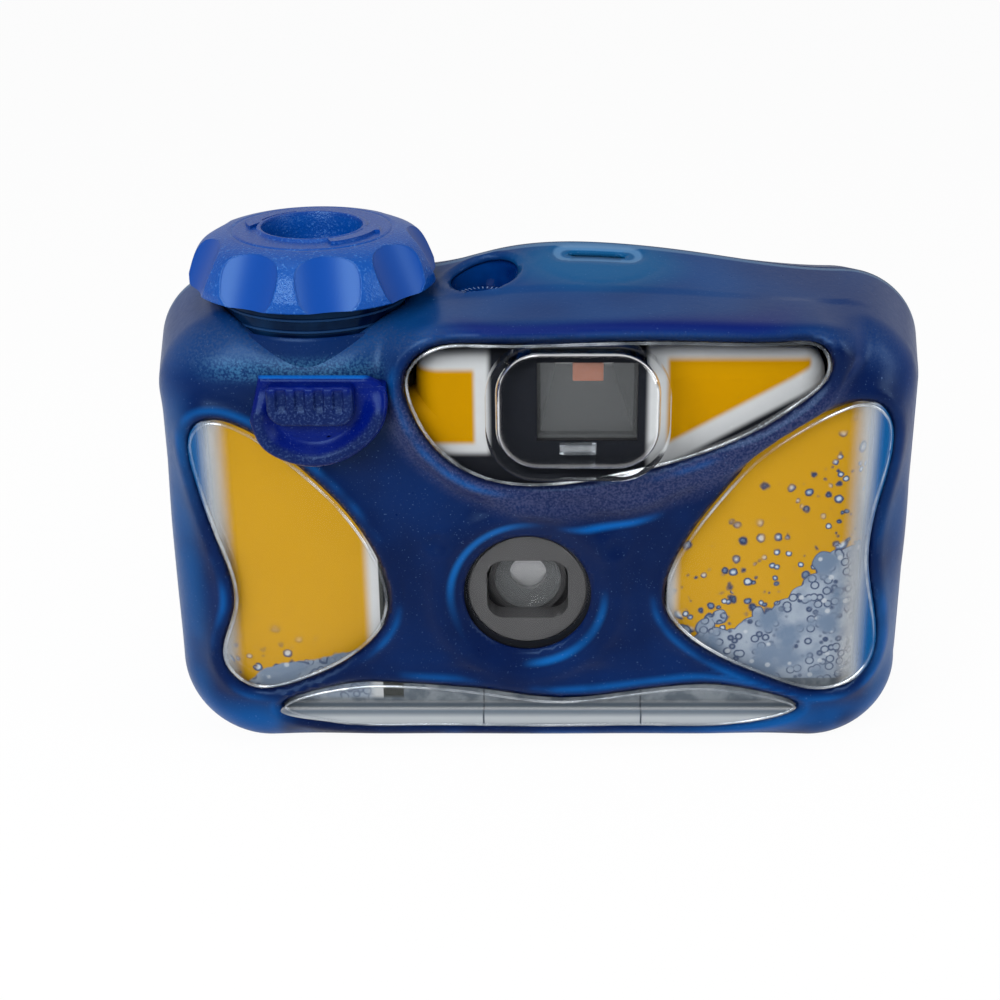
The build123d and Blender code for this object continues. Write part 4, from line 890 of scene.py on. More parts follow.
def buildKnob(s, material):
    profile = knobProfile(s)
    r, z = profile[:, 0], profile[:, 1]
    reach = s["fluteRadius"] / math.cos(math.atan(s["fluteLean"]))
    centre = s["fluteFoot"] + reach - s["fluteLean"] * (z - s["bottom"])
    ratio = (r ** 2 + centre ** 2 - s["fluteRadius"] ** 2) / (2 * r * centre)
    outer = (r > s["plate"] - 0.3) & (z < s["plateTop"] + 0.01) & (z > s["bottom"] - 0.01) & (r > s["cavity"] - 3.5)
    outer &= ~((r < s["cavity"] + 0.4) & (z < s["under"] + 0.3))
    half = np.where(outer & (ratio < 1), np.arccos(np.clip(ratio, -1, 1)), 0)
    pitch = math.pi / s["flutes"]
    half = np.clip(half, 0.02 * pitch, 0.88 * pitch)
    n = s["columns"]
    bunch = np.sin(np.linspace(0, math.pi / 2, n + 1))
    inner = bunch[None, :-1] * half[:, None]
    land = half[:, None] + (pitch - half[:, None]) * (1 - np.cos(np.linspace(0, math.pi / 2, n + 1)))[None, :]
    side = np.concatenate([inner, land], 1)
    angle = np.concatenate([-side[:, :0:-1], side[:, :-1]], 1)
    away = np.abs(angle)
    c = centre[:, None]
    root = np.maximum(s["fluteRadius"] ** 2 - (c * np.sin(away)) ** 2, 0)
    cut = c * np.cos(away) - np.sqrt(root)
    whole = np.repeat(r[:, None], angle.shape[1], 1)
    carved = outer[:, None] & (root > 0)
    # the smaller of the two radii, blended over a short length
    radius = np.where(carved, whole - s["soften"] * np.log(1 + np.exp((whole - cut) / s["soften"])), whole)
    valley = np.where(carved, np.clip((whole - cut) / s["valleyEdge"], 0, 1), 0)
    turns = (np.arange(s["flutes"]) + s["fluteStart"]) * 2 * pitch
    theta = (turns[:, None, None] + angle[None]).transpose(1, 0, 2).reshape(len(r), -1)
    radius, valley = np.tile(radius, (1, s["flutes"])), np.tile(valley, (1, s["flutes"]))
    faces = gridFaces(len(r), theta.shape[1], True, True)
    addMesh(
        "advanceKnob", ringPoints(radius, z[:, None], theta), [faces[:, ::-1]], material, "winder", ("advance_knob",),
        sharp=38, fields={"valley": valley.ravel()},
    )


def buildMark(s, turn, material):
    # a curved arrow: a flat bar along an arc whose width swells to the head and runs out at the tip
    count, wide, headAt = 40, s["markWide"], s["markHead"]
    along = np.linspace(0, 1, count)
    middle = s["lip"] + wide / 2 + 0.05
    headArc = math.degrees(2 * wide / middle) / s["markSweep"]
    head = (along - headAt) / (1 - headAt)
    angle = np.radians(s["markFrom"] + turn + s["markSweep"] * np.where(head < 0, along / headAt, 1 + head * headArc))
    half = np.where(head < 0, wide / 2, wide * (1 - head) + 0.02)
    radius = middle + half[:, None] * np.array([-1.0, -0.94, 0.94, 1.0])
    height = s["plateTop"] + np.array([-0.2, s["markRise"], s["markRise"], -0.2])
    cap = np.array([[0, 1, 2, 3]])
    faces = [gridFaces(count, 4, False, True)[:, ::-1], cap, cap[:, ::-1] + 4 * (count - 1)]
    addMesh(f"turnMark{turn}", ringPoints(radius, height[None], angle[:, None]), faces, material, "winder")


# Finger lever: a dished paddle with a fat rolled rim, a straight top edge and a ribbed block

leverSet = {
    "left": -46.4, "right": -24.2, "top": 71.8, "low": 56.8, "front": -25.3, "back": -22.4,
    "shares": (
        (0.07, 1.0), (0.86, 1.0), (0.97, 0.90), (1.0, 0.70), (0.95, 0.44), (0.83, 0.23), (0.66, 0.07),
        (0.46, 0.0), (0.25, 0.06), (0.08, 0.22), (0.0, 0.52),
    ),
    "rim": 2.6, "dish": 1.9, "edge": 1.0, "rows": 56, "cols": 140,
    "block": (-36.4, 67.6, 7.0, 3.4, 0.8), "blockFront": -26.0, "ribs": 4, "ribDepth": 0.6,
    "pivot": (-36.6, -21.4, 60.4), "knuckle": 1.7, "knuckleWide": 3.0, "knuckleSpan": 7.0,
    "arm": (-26.4, 69.4, 4.0, 2.0, -9.0),
}


def leverOutline(s):
    # the straight top edge from corner to corner, then the curve round the right, bottom and left
    wide, high = s["right"] - s["left"], s["top"] - s["low"]
    points = np.array([(s["left"] + a * wide, s["low"] + b * high) for a, b in s["shares"]])
    curve = curveThrough(points[1:], 200, False)
    return np.vstack([points[:1], curve])


def evenLine(line, count):
    # the closed line sampled evenly along its length
    ring = np.vstack([line, line[:1]])
    along = np.concatenate([[0], np.cumsum(np.linalg.norm(np.diff(ring, axis=0), axis=1))])
    at = np.linspace(0, along[-1], count, endpoint=False)
    return np.stack([np.interp(at, along, ring[:, k]) for k in range(2)], 1)


def paddle(s):
    # rings shrinking from the outline to its middle; the height over each point follows its distance to the outline
    outline = leverOutline(s)
    ring = evenLine(outline, s["cols"])
    middle = np.array([(s["left"] + s["right"]) / 2 - 0.4, s["low"] + 0.56 * (s["top"] - s["low"])])
    share = np.concatenate([np.linspace(1, 0.6, s["rows"] // 2), np.linspace(0.6, 0.0, s["rows"] // 2)[1:]])
    flat = middle + (ring[None] - middle) * share[:, None, None]
    x, z = flat[..., 0], flat[..., 1]
    gap = -outlineDistance(outline, x.ravel(), z.ravel()).reshape(x.shape)
    gap[0] = 0
    low = smoothStep(s["top"] - 1.6, s["top"] - 6.5, z)
    tall = s["front"] + (1 - low) * 1.9
    edge = s["edge"]
    rounded = edge - np.sqrt(np.maximum(edge ** 2 - (edge - np.minimum(gap, edge)) ** 2, 0))
    dish = s["dish"] * smoothStep(s["rim"] - 1.2, s["rim"] + 1.6, gap) * low
    y = tall + rounded + dish
    front = np.stack([x, y, z], -1)
    backs = np.full(len(ring), s["back"])
    wall = np.stack([ring[:, 0], backs, ring[:, 1]], -1)[None]
    inner = middle + (ring - middle) * 0.02
    closing = np.stack([inner[:, 0], backs, inner[:, 1]], -1)[None]
    points = np.concatenate([closing, wall, front[:-1]], 0)
    tips = np.array([[middle[0], front[-1, 0, 1], middle[1]], [middle[0], s["back"], middle[1]]])
    count = len(ring)
    last, k = (len(points) - 1) * count, np.arange(count)
    after, tip = (k + 1) % count, np.full(count, len(points) * count)
    fans = [np.stack([last + k, last + after, tip], 1), np.stack([after, k, tip + 1], 1)]
    return np.vstack([points.reshape(-1, 3), tips]), [gridFaces(len(points), count, False, True)] + fans


def boxSolid(low, high, bevel):
    # a box with every edge rounded: a cube grid pushed out from a smaller core box
    n = 7
    u = np.linspace(-1, 1, n)
    grids = []
    for axis in range(3):
        for side in (-1, 1):
            a, b = np.meshgrid(u, u, indexing="ij")
            face = np.empty((n, n, 3))
            face[..., axis] = side
            face[..., (axis + 1) % 3] = a
            face[..., (axis + 2) % 3] = b
            grids.append((face, side))
    low, high = np.array(low, dtype=float), np.array(high, dtype=float)
    middle, half = (low + high) / 2, (high - low) / 2
    points, faces = [], []
    for number, (face, side) in enumerate(grids):
        bent = np.sign(face) * np.abs(face) ** 0.35
        core = np.clip(bent * half, -(half - bevel), half - bevel)
        way = bent * half - core
        length = np.linalg.norm(way, axis=-1, keepdims=True)
        points.append((middle + core + way / np.maximum(length, 1e-9) * np.minimum(length, bevel)).reshape(-1, 3))
        quads = gridFaces(n, n) + number * n * n
        faces.append(quads if side < 0 else quads[:, ::-1])
    return np.vstack(points), faces


def barSolid(centre, length, radius, columns=28):
    # a rod along X with rounded end edges: a profile carried round the line through centre
    edge = radius * 0.18
    profile = [(0, 0), (0, radius - edge), (edge * 0.3, radius - edge * 0.3), (edge, radius)]
    profile = profile + [(length - a, b) for a, b in reversed(profile)]
    along, rr = np.array([p[0] for p in profile]) - length / 2, np.maximum([p[1] for p in profile], 0.02)
    turn = np.linspace(0, 2 * math.pi, columns, endpoint=False)
    x = np.repeat(centre[0] + along[:, None], columns, 1)
    y = centre[1] + rr[:, None] * np.cos(turn)[None]
    z = centre[2] + rr[:, None] * np.sin(turn)[None]
    faces = gridFaces(len(profile), columns, False, True)
    cap = np.arange(columns)[None, ::-1]
    return np.stack([x, y, z], -1).reshape(-1, 3), [faces[:, ::-1], cap, cap + (len(profile) - 1) * columns]


def joinParts(parts):
    # several point and face lists as one
    points, faces, start = [], [], 0
    for part, blocks in parts:
        points.append(part)
        faces += [block + start for block in blocks]
        start += len(part)
    return np.vstack(points), faces


def ribbedBlock(s):
    # the finger block: a rounded tablet with its lower corners rounder, grooved by ribs that run down from the top
    cx, cz, halfWide, halfHigh, edge = s["block"]
    cols, rows = 110, 44
    u, v = np.meshgrid(np.linspace(-1, 1, cols), np.linspace(-1, 1, rows))
    corner = np.where(v < 0, 2.9, 1.0)
    x, z = cx + u * halfWide, cz + v * halfHigh
    gap = -roundedDistance(x, z, cx, cz, halfWide, halfHigh, corner)
    over = gap < 0
    pull = np.where(over, -gap, 0)
    qx, qz = np.abs(x - cx) - halfWide + corner, np.abs(z - cz) - halfHigh + corner
    size = np.maximum(np.hypot(qx, qz), 1e-6)
    x = x - np.where(over, np.sign(x - cx) * qx / size * pull, 0)
    z = z - np.where(over, np.sign(z - cz) * qz / size * pull, 0)
    gap = np.maximum(gap, 0)
    top = s["blockFront"] + edge - np.sqrt(np.maximum(edge ** 2 - (edge - np.minimum(gap, edge)) ** 2, 0))
    pitch = 2 * halfWide / (s["ribs"] + 0.6)
    wave = 0.5 - 0.5 * np.cos(2 * math.pi * (x - cx) / pitch)
    groove = s["ribDepth"] * smoothStep(0.25, 0.75, wave) * smoothStep(cz - 0.45 * halfHigh, cz + 0.15 * halfHigh, z)
    top = top + groove * smoothStep(0, 1.2, gap) + 0.12 * smoothStep(cz + 0.2 * halfHigh, cz + halfHigh, z)
    front = np.stack([x, top, z], -1)
    back = front.copy()
    back[..., 1] = s["front"] + 2.2
    return closedSheet(front, back)


def closedSheet(front, back):
    # a front and a back grid joined round their rim
    rows, cols = front.shape[:2]
    count = rows * cols
    quads = gridFaces(rows, cols)
    k = np.arange(count).reshape(rows, cols)
    rim = np.concatenate([k[0, :-1], k[:-1, -1], k[-1, :0:-1], k[:0:-1, 0]])
    after = np.roll(rim, -1)
    wall = np.stack([rim, rim + count, after + count, after], 1)
    return np.vstack([front.reshape(-1, 3), back.reshape(-1, 3)]), [quads, quads[:, ::-1] + count, wall]


def buildLever(s, material):
    parts = [paddle(s), ribbedBlock(s)]
    px, py, pz = s["pivot"]
    half, tall, back = s["knuckleWide"] / 2, s["knuckle"] - 0.1, s["back"] - 1
    for side in (-1, 1):
        x = px + side * s["knuckleSpan"] / 2
        parts.append(barSolid((x, py, pz), s["knuckleWide"], s["knuckle"]))
        parts.append(boxSolid((x - half, back, pz - tall), (x + half, py, pz + tall), 0.2))
    ax, az, wide, high, tip = s["arm"]
    parts.append(boxSolid((ax - wide / 2, back, az - high / 2), (ax + wide / 2, tip, az + high / 2), 0.25))
    points, faces = joinParts(parts)
    addMesh("fingerLever", points, faces, material, "lever", ("shutter_lever",), sharp=50)


# Small things behind the finder's clear swell: the orange tab and the clear catch under the glass

finderSet = {
    # low corner, high corner, rounding
    "finderTab": ((5.6, -14.5, 67.9), (10.7, -14.0, 71.5), 0.15),
    "finderCatch": ((3.4, -19.3, 56.5), (9.6, -17.8, 58.5), 0.3),
}


# Finishes of the housing, the knob, the lever and the prints

def roundedGap(x, y, cx, cy, halfWide, halfHigh, corner):
    # signed distance to a rounded rectangle, in nodes
    qx, qy = (x - cx).size() - (halfWide - corner), (y - cy).size() - (halfHigh - corner)
    ox, oy = qx.most(0.0), qy.most(0.0)
    return (ox * ox + oy * oy).root() + qx.most(qy).least(0.0) - corner


def awayFrom(x, y, place):
    # the square of the distance from an axis, in nodes
    return (x - place[0]) * (x - place[0]) + (y - place[1]) * (y - place[1])


def skinFinish():
    # frosted translucent plastic: deep navy, light gathering along its edges, a painted sheen and painted highlights
    # where it rounds, sparkling grain
    made = Finish("blueSkin", rough=0.3, shine=0.2, tint=(0.35, 0.62, 1.0, 1))
    x, y, z = made.coordinates()
    up, side = made.field("up"), made.field("side")
    gap, lens, mask = made.field("windowGap"), made.field("lensGap"), made.field("maskGap")
    cloud, drift, fine, speck = made.noise(38, 3), made.noise(22, 2), made.noise(900, 2), made.noise(3600, 1)
    wide = drift.rise(0.36, 0.62)
    grit = made.noise(2500, 2).rise(0.36, 0.66)
    tone = made.mix(cloud.rise(0.3, 0.7), colour(0, 10, 52), colour(0, 26, 76))

    # the flat top, painted lighter where it faces up as painted top light, teal round the slot
    tone = made.mix(up.rise(0.2, 0.7), tone, made.mix(wide, colour(2, 36, 88), colour(8, 60, 116)))
    oval = ((x - 10) * (x - 10) * 0.4 + (y - 1) * (y - 1)) * 0.01
    tone = made.mix((1 - oval.rise(0.1, 1.3)) * z.rise(78, 80) * 0.8, tone, colour(8, 84, 132))
    # painted sheen: a lighter, speckled haze where the surface rounds from the top towards the front
    paintedSheen = up.within(0.42, 0.86, 0.16) * z.rise(60, 66)
    tone = made.mix(paintedSheen * (grit * 0.5 + 0.12), tone, made.mix(cloud, colour(24, 42, 84), colour(56, 74, 108)))
    # painted highlight: a speckled light band along the rounded upper front edge above the lever
    band = z.within(70.2, 73.6, 1.3) * x.within(-53, -26, 5) * (1 - y.rise(-17.5, -15))
    tone = made.mix(band * (grit * 0.6 + 0.08), tone, colour(54, 104, 144))
    # painted shade round the finger lever
    shade = z.within(55, 68.5, 2.5) * x.within(-56, -24, 3) * (1 - y.rise(-16, -14))
    tone = made.mix(shade * 0.7, tone, colour(0, 12, 54))
    crown = gap.within(0.9, 2.2, 0.5) * z.rise(76, 77) * x.within(-14, 40, 6)
    tone = made.mix(crown, tone, colour(0, 20, 92))

    # the sides and the foot, where light shines through from behind
    flank = side.rise(0.3, 1.0)
    tone = made.mix(flank * 0.85, tone, made.mix(wide, colour(4, 42, 100), colour(32, 66, 118)))
    rim = x.size().rise(55.5, 60) * (1 - z.rise(60, 70)) * cloud.rise(0.34, 0.56)
    tone = made.mix(rim * 0.35, tone, colour(6, 88, 150))
    foot = (1 - z.rise(5, 13)) * x.size().rise(14, 40) * cloud.rise(0.38, 0.58)
    tone = made.mix(foot * 0.75, tone, colour(4, 80, 148))

    # the brow round the raised mask with a painted highlight, a painted glow along its lower ridge and on the lens
    # ring, a thread of light along each pane and painted shade where the skin drops into each opening
    # painted highlight: a speckled light haze on the brow round the raised mask
    browHighlight = mask.rise(4.0, 0.5) * z.rise(42, 50) * (1 - z.rise(64, 72))
    tone = made.mix(browHighlight * (grit * 0.6 + 0.15), tone, colour(58, 62, 94))
    # painted glow: bright cyan along the mask's lower ridge
    ridgeGlow = mask.within(2.9, 3.9, 0.6) * (1 - z.rise(62, 72)) * x.within(6, 18, 4)
    tone = made.mix(ridgeGlow * 0.8, tone, colour(2, 90, 168))
    glow = gap.within(1.4, 2.3, 0.7) * cloud.rise(0.46, 0.62) * (1 - z.rise(70, 74))
    tone = made.mix(glow * 0.7, tone, colour(2, 84, 156))
    # painted shade where the skin drops into each opening
    tone = made.mix((1 - gap.rise(0.2, 0.9)) * 0.8, tone, colour(0, 8, 44))
    # painted glow: a broken cyan ring round the lens
    ring = lens.within(12.6, 13.7, 0.5) * made.noise(46, 1).rise(0.44, 0.6)
    tone = made.mix(ring * 0.85, tone, colour(2, 88, 160))

    # the slot's pale frame and the joint between the halves
    slotX, slotY, long, wide = reliefSet["slot"][:4]
    slot = roundedGap(x, y, slotX, slotY, long / 2, wide / 2 - 0.2, wide / 2 - 0.2)
    tone = made.mix(slot.within(-1.3, 0.0, 0.3) * z.rise(80, 81) * 0.7, tone, colour(84, 128, 170))
    joint = y.within(5.7, 6.9, 0.25) * z.rise(30, 60)
    tone = made.mix(joint * 0.55, tone, colour(96, 126, 156))
    tone = made.mix(y.within(7.0, 9.4, 0.4) * z.rise(30, 60) * 0.6, tone, colour(8, 30, 70))

    tone = made.mix(speck.rise(0.7, 0.8) * 0.25, tone, colour(130, 165, 215))
    made.shade(colour=tone, rough=0.24 + fine * 0.14)
    made.bump(speck * 0.5 + fine, 0.35, 0.00005)
    return made.material


def knobFinish():
    # satin royal blue: sparkling leather texture on the lands, smooth and glossier in the flutes
    made = Finish("knobBlue", rough=0.3, shine=0.4, tint=(0.45, 0.75, 1.0, 1))
    z = made.coordinates()[2]
    valley = made.field("valley")
    cloud, speck, grain = made.noise(60, 3), made.noise(3400, 1), made.noise(2100, 2)
    tone = made.mix(cloud, colour(0, 56, 136), colour(4, 74, 156))
    tone = made.mix(valley * 0.8, tone, colour(0, 58, 142))
    # painted shade: a slightly darker line along each flute's edge
    tone = made.mix(valley.within(0.06, 0.94, 0.06) * 0.14, tone, colour(0, 36, 104))
    # painted shade: the top of the knob a little darker
    tone = made.mix(z.rise(90.6, 91.0) * 0.4, tone, colour(0, 42, 128))
    tone = made.mix(grain.rise(0.56, 0.74) * (1 - valley) * 0.35, tone, colour(90, 150, 220))
    made.shade(colour=tone, rough=0.3 + valley * 0.06)
    made.bump(speck * (1 - valley) * 0.5 + grain * (1 - valley), 0.6, 0.00016)
    return made.material


def collarFinish():
    # the neck: deep navy seen into the clear plastic, with its rings catching light
    made = Finish("collarNavy", rough=0.14, shine=0.1, tint=(0.4, 0.75, 1.0, 1))
    z = made.coordinates()[2]
    cloud, streak = made.noise(90, 3), made.noise(260, 2)
    tone = made.mix(cloud.rise(0.35, 0.65), colour(0, 8, 36), colour(6, 34, 66))
    rings = z.within(77.7, 78.1, 0.08).most(z.within(79.6, 80.0, 0.08))
    tone = made.mix(rings * 0.6, tone, colour(30, 62, 104))
    made.shade(colour=tone, rough=streak * 0.1 + 0.1)
    made.bump(streak, 0.15, 0.00004)
    return made.material


def leverFinish():
    # translucent deep blue: near black-blue with a bright line of light along the top edge and a speckled rim
    made = Finish("leverBlue", rough=0.3, shine=0.16, tint=(0.4, 0.65, 1.0, 1))
    x, y, z = made.coordinates()
    cloud, speck, grain = made.noise(140, 3), made.noise(3600, 1), made.noise(2300, 2)
    tone = made.mix(cloud, colour(0, 6, 74), colour(0, 22, 108))
    face = (1 - y.rise(-25.4, -24.5)) * (1 - z.rise(69, 71))
    tone = made.mix(face * 0.8, tone, made.mix(cloud, colour(2, 12, 48), colour(14, 30, 74)))
    tone = made.mix(grain.rise(0.5, 0.68) * face * 0.6, tone, colour(48, 66, 108))
    edge = z.within(71.5, 71.9, 0.12) * (1 - x.rise(-28.5, -26.5)) * x.rise(-45.5, -44.0)
    tone = made.mix(edge * 0.9, tone, colour(12, 92, 176))
    tone = made.mix(speck.rise(0.66, 0.8) * 0.25, tone, colour(110, 135, 195))
    made.shade(colour=tone, rough=0.24 + speck * 0.1)
    made.bump(speck * 0.4 + grain * face, 0.5, 0.00008)
    return made.material


labelSet = {
    # panels and their white borders: from x, to x, from z, to z; the z of the right ones is that over their slant
    "rightPanel": (21.2, 44.5, 57.4, 58.8), "rightHalo": (18.0, 49.0, 53.6, 55.0), "slant": (21.4, 0.57),
    "leftPanel": (-26.0, -10.6, 58.0, 70.8), "leftHalo": (-28.0, -8.2, 56.2, 73.2),
    # drops: cells per metre, where a drop begins and ends in its cell, how far they reach
    "drops": ((170, 0.17, 0.24, 30), (290, 0.2, 0.29, 22), (500, 0.24, 0.34, 15)),
    "foamDarker": 0.14, "footDarker": 0.26, "allDarker": 0.25, "seamMiddle": 4.0, "seamAway": (13.7, 14.0, 0.08),
}


def labelFinish(s):
    # the printed wrap: black wing with two yellow panels in soft white, yellow sides with foam and drops, pale foot
    made = Finish("labelPrint", rough=0.5, shine=0.02)
    x, _, z = made.coordinates()
    grain = made.noise(700, 2)
    wobble = (made.noise(45, 2) - 0.5) * 1.2
    black, white = colour(34, 37, 44), colour(220, 224, 226)
    deep = made.mix(made.noise(30, 2), colour(204, 146, 0), colour(216, 160, 0))
    pale = made.mix(made.noise(26, 2), colour(206, 154, 22), colour(218, 170, 44))

    # the wing: two panels, each inside its white border
    rise, wing = z - (x - s["slant"][0]) * s["slant"][1], black
    for leftName, rightName, top, softX, softZ, inside in (
        ("leftHalo", "rightHalo", 74.9, 0.6, 0.7, white), ("leftPanel", "rightPanel", 72.5, 0.5, 0.6, deep),
    ):
        x0, x1, z0, z1 = s[rightName]
        panel = x.within(x0, x1, softX) * rise.rise(z0, z1) * (1 - z.rise(top - softZ, top + softZ))
        x0, x1, z0, z1 = s[leftName]
        wing = made.mix(panel.most(x.within(x0, x1, softX) * z.within(z0, z1, softZ)), wing, inside)

    # the sides: yellow, with a swell of foam and drops of its own layout on the right
    lumps, small = made.cells(330), made.cells(620)
    churn = made.noise(150, 3)
    crest = 20 + x.rise(22, 56) * 19 + (made.noise(64, 3) - 0.5) * 30 + (0.5 - lumps) * 8
    foam = 1 - (z - crest).rise(-0.25, 0.25)
    foamTone = made.mix(churn.rise(0.38, 0.62), colour(128, 150, 178), colour(184, 198, 214))
    foamTone = made.mix(small.within(0.34, 0.5, 0.07) * churn.rise(0.42, 0.55), foamTone, colour(74, 92, 128))
    foamTone = made.mix((1 - lumps.rise(0.1, 0.2)) * 0.8, foamTone, colour(226, 234, 242))
    foamTone = made.mix(1 - (z - crest).size().rise(0.25, 0.7), foamTone, colour(76, 94, 130))
    foamTone = made.mix((1 - z.rise(8, 22)) * 0.5, foamTone, colour(172, 188, 206))
    foamTone = made.mix(s["foamDarker"], foamTone, (0, 0, 0))
    right, left = pale, pale
    for scale, near, far, reach in s["drops"]:
        cell = made.cells(scale) + (made.noise(scale * 2.6, 2) - 0.5) * 0.2
        patch = made.noise(70 + scale * 0.1, 2).rise(0.44, 0.48)
        drop = (1 - cell.rise(near, far)) * patch
        inner = made.mix(cell.rise(near * 0.45, near * 0.75), colour(214, 226, 236), colour(112, 134, 170))
        dropTone = made.mix(cell.rise(near * 0.8, near), inner, colour(52, 68, 104))
        right = made.mix(drop * (1 - (z - crest).rise(reach * 0.6, reach)), right, dropTone)
        left = made.mix(drop * (1 - z.rise(12 + reach * 0.2, 15 + reach * 0.35)), left, dropTone)
    right = made.mix(foam, right, foamTone)
    right = made.mix(x.rise(22.4, 24.6), white, right)
    right = made.mix(1 - x.rise(21.9, 22.1), right, colour(74, 77, 75))
    left = made.mix(1 - (z + wobble * 4 + churn * 5 - (x + 50) * 0.28).rise(16.2, 16.7), left, foamTone)
    left = made.mix(x.rise(-30.6, -28.6), left, white)
    left = made.mix(x.rise(-27.7, -27.5), left, colour(74, 77, 75))
    isLeft = 1 - x.rise(-24.1, -23.9)
    isRight = x.rise(19.9, 20.1) * (1 - (z - (x - 22) * 0.6).rise(50.9, 51.1))
    art = made.mix(isLeft * (1 - z.rise(65.5, 65.7)), wing, left)
    art = made.mix(isRight, art, right)

    # the foot: pale mottled band with two thin joints
    foot = made.mix(made.noise(320, 3).rise(0.35, 0.65), colour(128, 140, 152), colour(176, 186, 194))
    seam = (x - s["seamMiddle"]).size().within(*s["seamAway"])
    foot = made.mix(s["footDarker"], made.mix(seam * 0.7, foot, colour(80, 86, 92)), (0, 0, 0))
    middle = x.within(-27, 22, 0.3)
    art = made.mix((1 - z.rise(13.2, 13.6)) * (1 - isLeft * z.rise(9, 10)), art, foot)
    art = made.mix(middle * z.within(13.5, 52, 0.3), art, black)
    art = made.mix(s["allDarker"], art, (0, 0, 0))
    made.shade(colour=made.mix(grain * 0.05, art, colour(60, 52, 30)), rough=0.46 + grain * 0.1)
    made.bump(grain, 0.05, 0.00003)
    return made.material


def rearLabelFinish():
    # the printed back panel: yellow with a pale lower wave and small drops
    made = Finish("rearLabelPrint", rough=0.4, coat=0.2)
    x, _, z = made.coordinates()
    crest = 22 + (made.noise(55, 3) - 0.5) * 22
    foam = 1 - (z - crest).rise(-0.5, 0.4)
    tone = made.mix(made.noise(30, 2), colour(212, 160, 44), colour(226, 174, 62))
    cell = made.cells(420)
    tone = made.mix(foam, tone, made.mix(cell.rise(0.0, 0.5), colour(92, 112, 150), colour(176, 190, 208)))
    border = x.within(-47.6, 47.6, 0.4) * z.within(6.0, 60.0, 0.4)
    tone = made.mix(border, colour(214, 219, 224), tone)
    made.shade(colour=tone, rough=0.36 + made.noise(700, 2) * 0.1)
    made.bump(made.noise(700, 2), 0.05, 0.00003)
    return made.material


shellSet = {
    "collar": (310, 340), "sides": (51.0, 57.0), "deepSides": (53.0, 56.5), "well": (6.9, 7.1), "wellTop": (74, 75),
    # the two round bosses in the counter's well, each with a painted glint, its 36 ticks between two radii
    "bosses": ((-11.6, 0.6), (-7.0, 0.6)), "ticks": 36, "tickAt": (3.9, 4.9, 0.08),
    "band": (3.6, 8.8, 0.5), "bandMiddle": (5.0, 7.4, 0.8),
    # how far each tinted place hides what is behind it, and how far a clear face mirrors from inside
    "hides": {"collar": 0.95, "sides": 0.7, "well": 0.9, "band": 0.75}, "inside": 0.14, "swell": (-2.2, 1.0, 0.2),
}


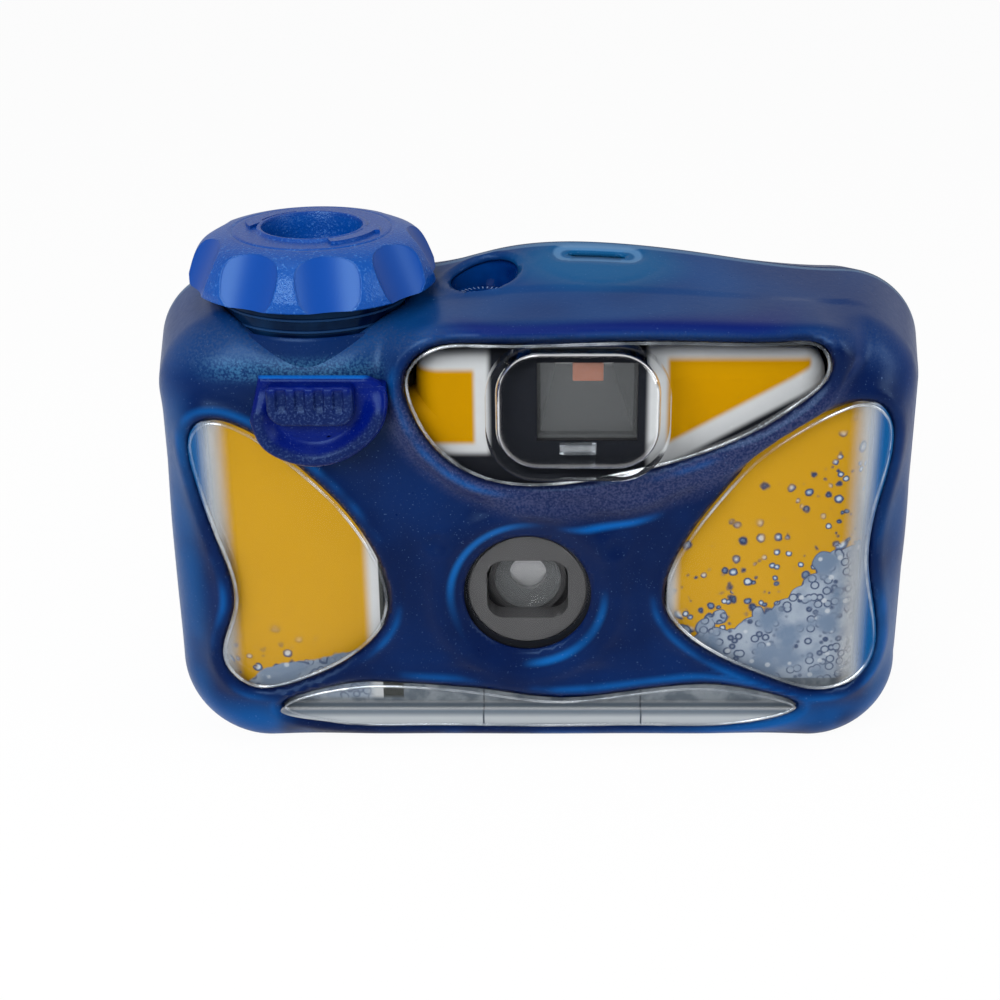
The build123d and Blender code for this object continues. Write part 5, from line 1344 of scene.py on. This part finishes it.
def shellFinish(s):
    # the clear housing: it mirrors by its Fresnel share, is navy round the knob's collar and has a painted blue glow
    # where it turns
    made = Finish("shellPlastic", rough=0.03, ior=plasticIndex, shine=0.12)
    x, y, z = made.coordinates()
    smudge, streak = made.noise(60, 4), made.drawn(420, 2, (1, 1, 0.12)).rise(0.35, 0.65)
    atFront = 1 - y.rise(-16, -14)
    dialX, dialY = reliefSet["counter"][:2]
    dial = awayFrom(x, y, (dialX, dialY)).root()
    places = {
        "sides": x.size().rise(*s["sides"]),
        "collar": (1 - awayFrom(x, y, reliefSet["knob"]).rise(*s["collar"])) * z.rise(70, 72),
        "well": (1 - dial.rise(*s["well"])) * z.rise(*s["wellTop"]),
        "band": z.within(*s["band"]) * atFront * (1 - x.size().rise(44, 48)),
    }

    # the counter's well: bosses with a dark edge and a painted glint as their light middle, and a ring of ticks
    bosses = awayFrom(x, y, s["bosses"][0]).root().least(awayFrom(x, y, s["bosses"][1]).root())
    spin = (y - dialY).math("ARCTAN2", x - dialX) * (s["ticks"] / (2 * math.pi))
    ticks = (1 - (spin.math("FRACT") - 0.5).size().rise(0.1, 0.16)) * dial.within(*s["tickAt"])
    well = made.mix(smudge.rise(0.4, 0.6), colour(0, 22, 82), colour(2, 52, 118))
    well = made.mix(bosses.within(1.3, 1.65, 0.08), well, colour(0, 14, 70))
    # painted glint: the pale middle of each boss
    well = made.mix(1 - bosses.rise(0.3, 0.5), well, colour(190, 205, 240))
    well = made.mix(ticks * 0.8, well, colour(150, 175, 215))

    side = made.mix(streak, colour(96, 124, 140), colour(196, 206, 204))
    # the band before the label's foot: painted light and shade of the rounded lower edge, a lighter stripe along its
    # middle between darker edges
    band = made.mix(z.within(*s["bandMiddle"]), colour(96, 108, 120), colour(190, 196, 200))
    seam = (x - labelSet["seamMiddle"]).size().within(*labelSet["seamAway"])
    tones = {
        # where the shell turns at the sides: pale streaked grey, then a painted blue glow at the far turn
        "sides": made.mix(x.size().rise(*s["deepSides"]), side, colour(0, 88, 150)),
        "collar": made.mix(smudge, colour(2, 14, 50), colour(6, 28, 84)),
        "well": well, "band": made.mix(seam, band, colour(70, 80, 90)),
    }
    swell = roundedGap(x, z, *reliefSet["bulge"]).within(*s["swell"]) * (1 - y.rise(-20.5, -20))
    tone, tinted, share = (1.0, 1.0, 1.0), 0.0, mirrorShare(made, s["inside"] + swell * (1 - s["inside"]))
    for name, where in places.items():
        tone = made.mix(where, tone, tones[name])
        tinted = where.most(tinted)
        share = share.most(where * s["hides"][name])
    made.shade(colour=tone, rough=smudge.rise(0.55, 0.8) * 0.08 + 0.04, metal=1 - tinted)
    made.bump(made.noise(900, 2), 0.05, 0.00002)
    return made.above("ShaderNodeBsdfTransparent", share.least(1.0))


def beadFinish():
    # the edge of clear plastic: a bright rim of light, half seen through
    made = Finish("beadClear", rough=0.12, metal=1.0)
    smudge = made.noise(120, 3)
    made.shade(colour=made.mix(smudge, colour(150, 170, 190), colour(250, 250, 248)), rough=0.08 + smudge * 0.12)
    return made.above("ShaderNodeBsdfTransparent", smudge.rise(0.35, 0.75) * 0.45 + 0.06)


beadClear, collarNavy, tabOrange = beadFinish(), collarFinish(), plainPlastic("tabOrange", colour(196, 104, 52), 0.4)
blueSkin, knobBlue, leverBlue = skinFinish(), knobFinish(), leverFinish()
labelPrint, rearPrint, clearShell = labelFinish(labelSet), rearLabelFinish(), shellFinish(shellSet)
dress(labelPrint, "front_label")
dress(rearPrint, "rear_label")
dress(clearShell, "front_shell rear_shell")
dress(leverBlue, "lever_pin")
print("finishes made")
buildSkin("front", "frontSkin", "front_skin", blueSkin)
buildSkin("back", "rearSkin", "rear_skin", blueSkin)
buildBeads("front", ("wing", "left", "right", "base"), 0.5, 0.3, beadClear)
buildBeads("back", ("rear",), 0.5, 0.3, beadClear)
print("skins made")
buildRing("collarNeck", collarNavy)
# fixed fields for the lip: up and side also set its painted top light and side light
buildRing("collarLip", blueSkin, windowGap=farAway, lensGap=reliefSet["lensFar"], maskGap=farAway, up=0.3, side=0.1)
buildKnob(knobSet, knobBlue)
for turn in (0, 180):
    buildMark(knobSet, turn, knobBlue)
print("knob made")
buildLever(leverSet, leverBlue)
for name, material in (("finderTab", tabOrange), ("finderCatch", beadClear)):
    addMesh(name, *boxSolid(*finderSet[name]), material, "housing", sharp=50)
print("lever and finder pieces made")
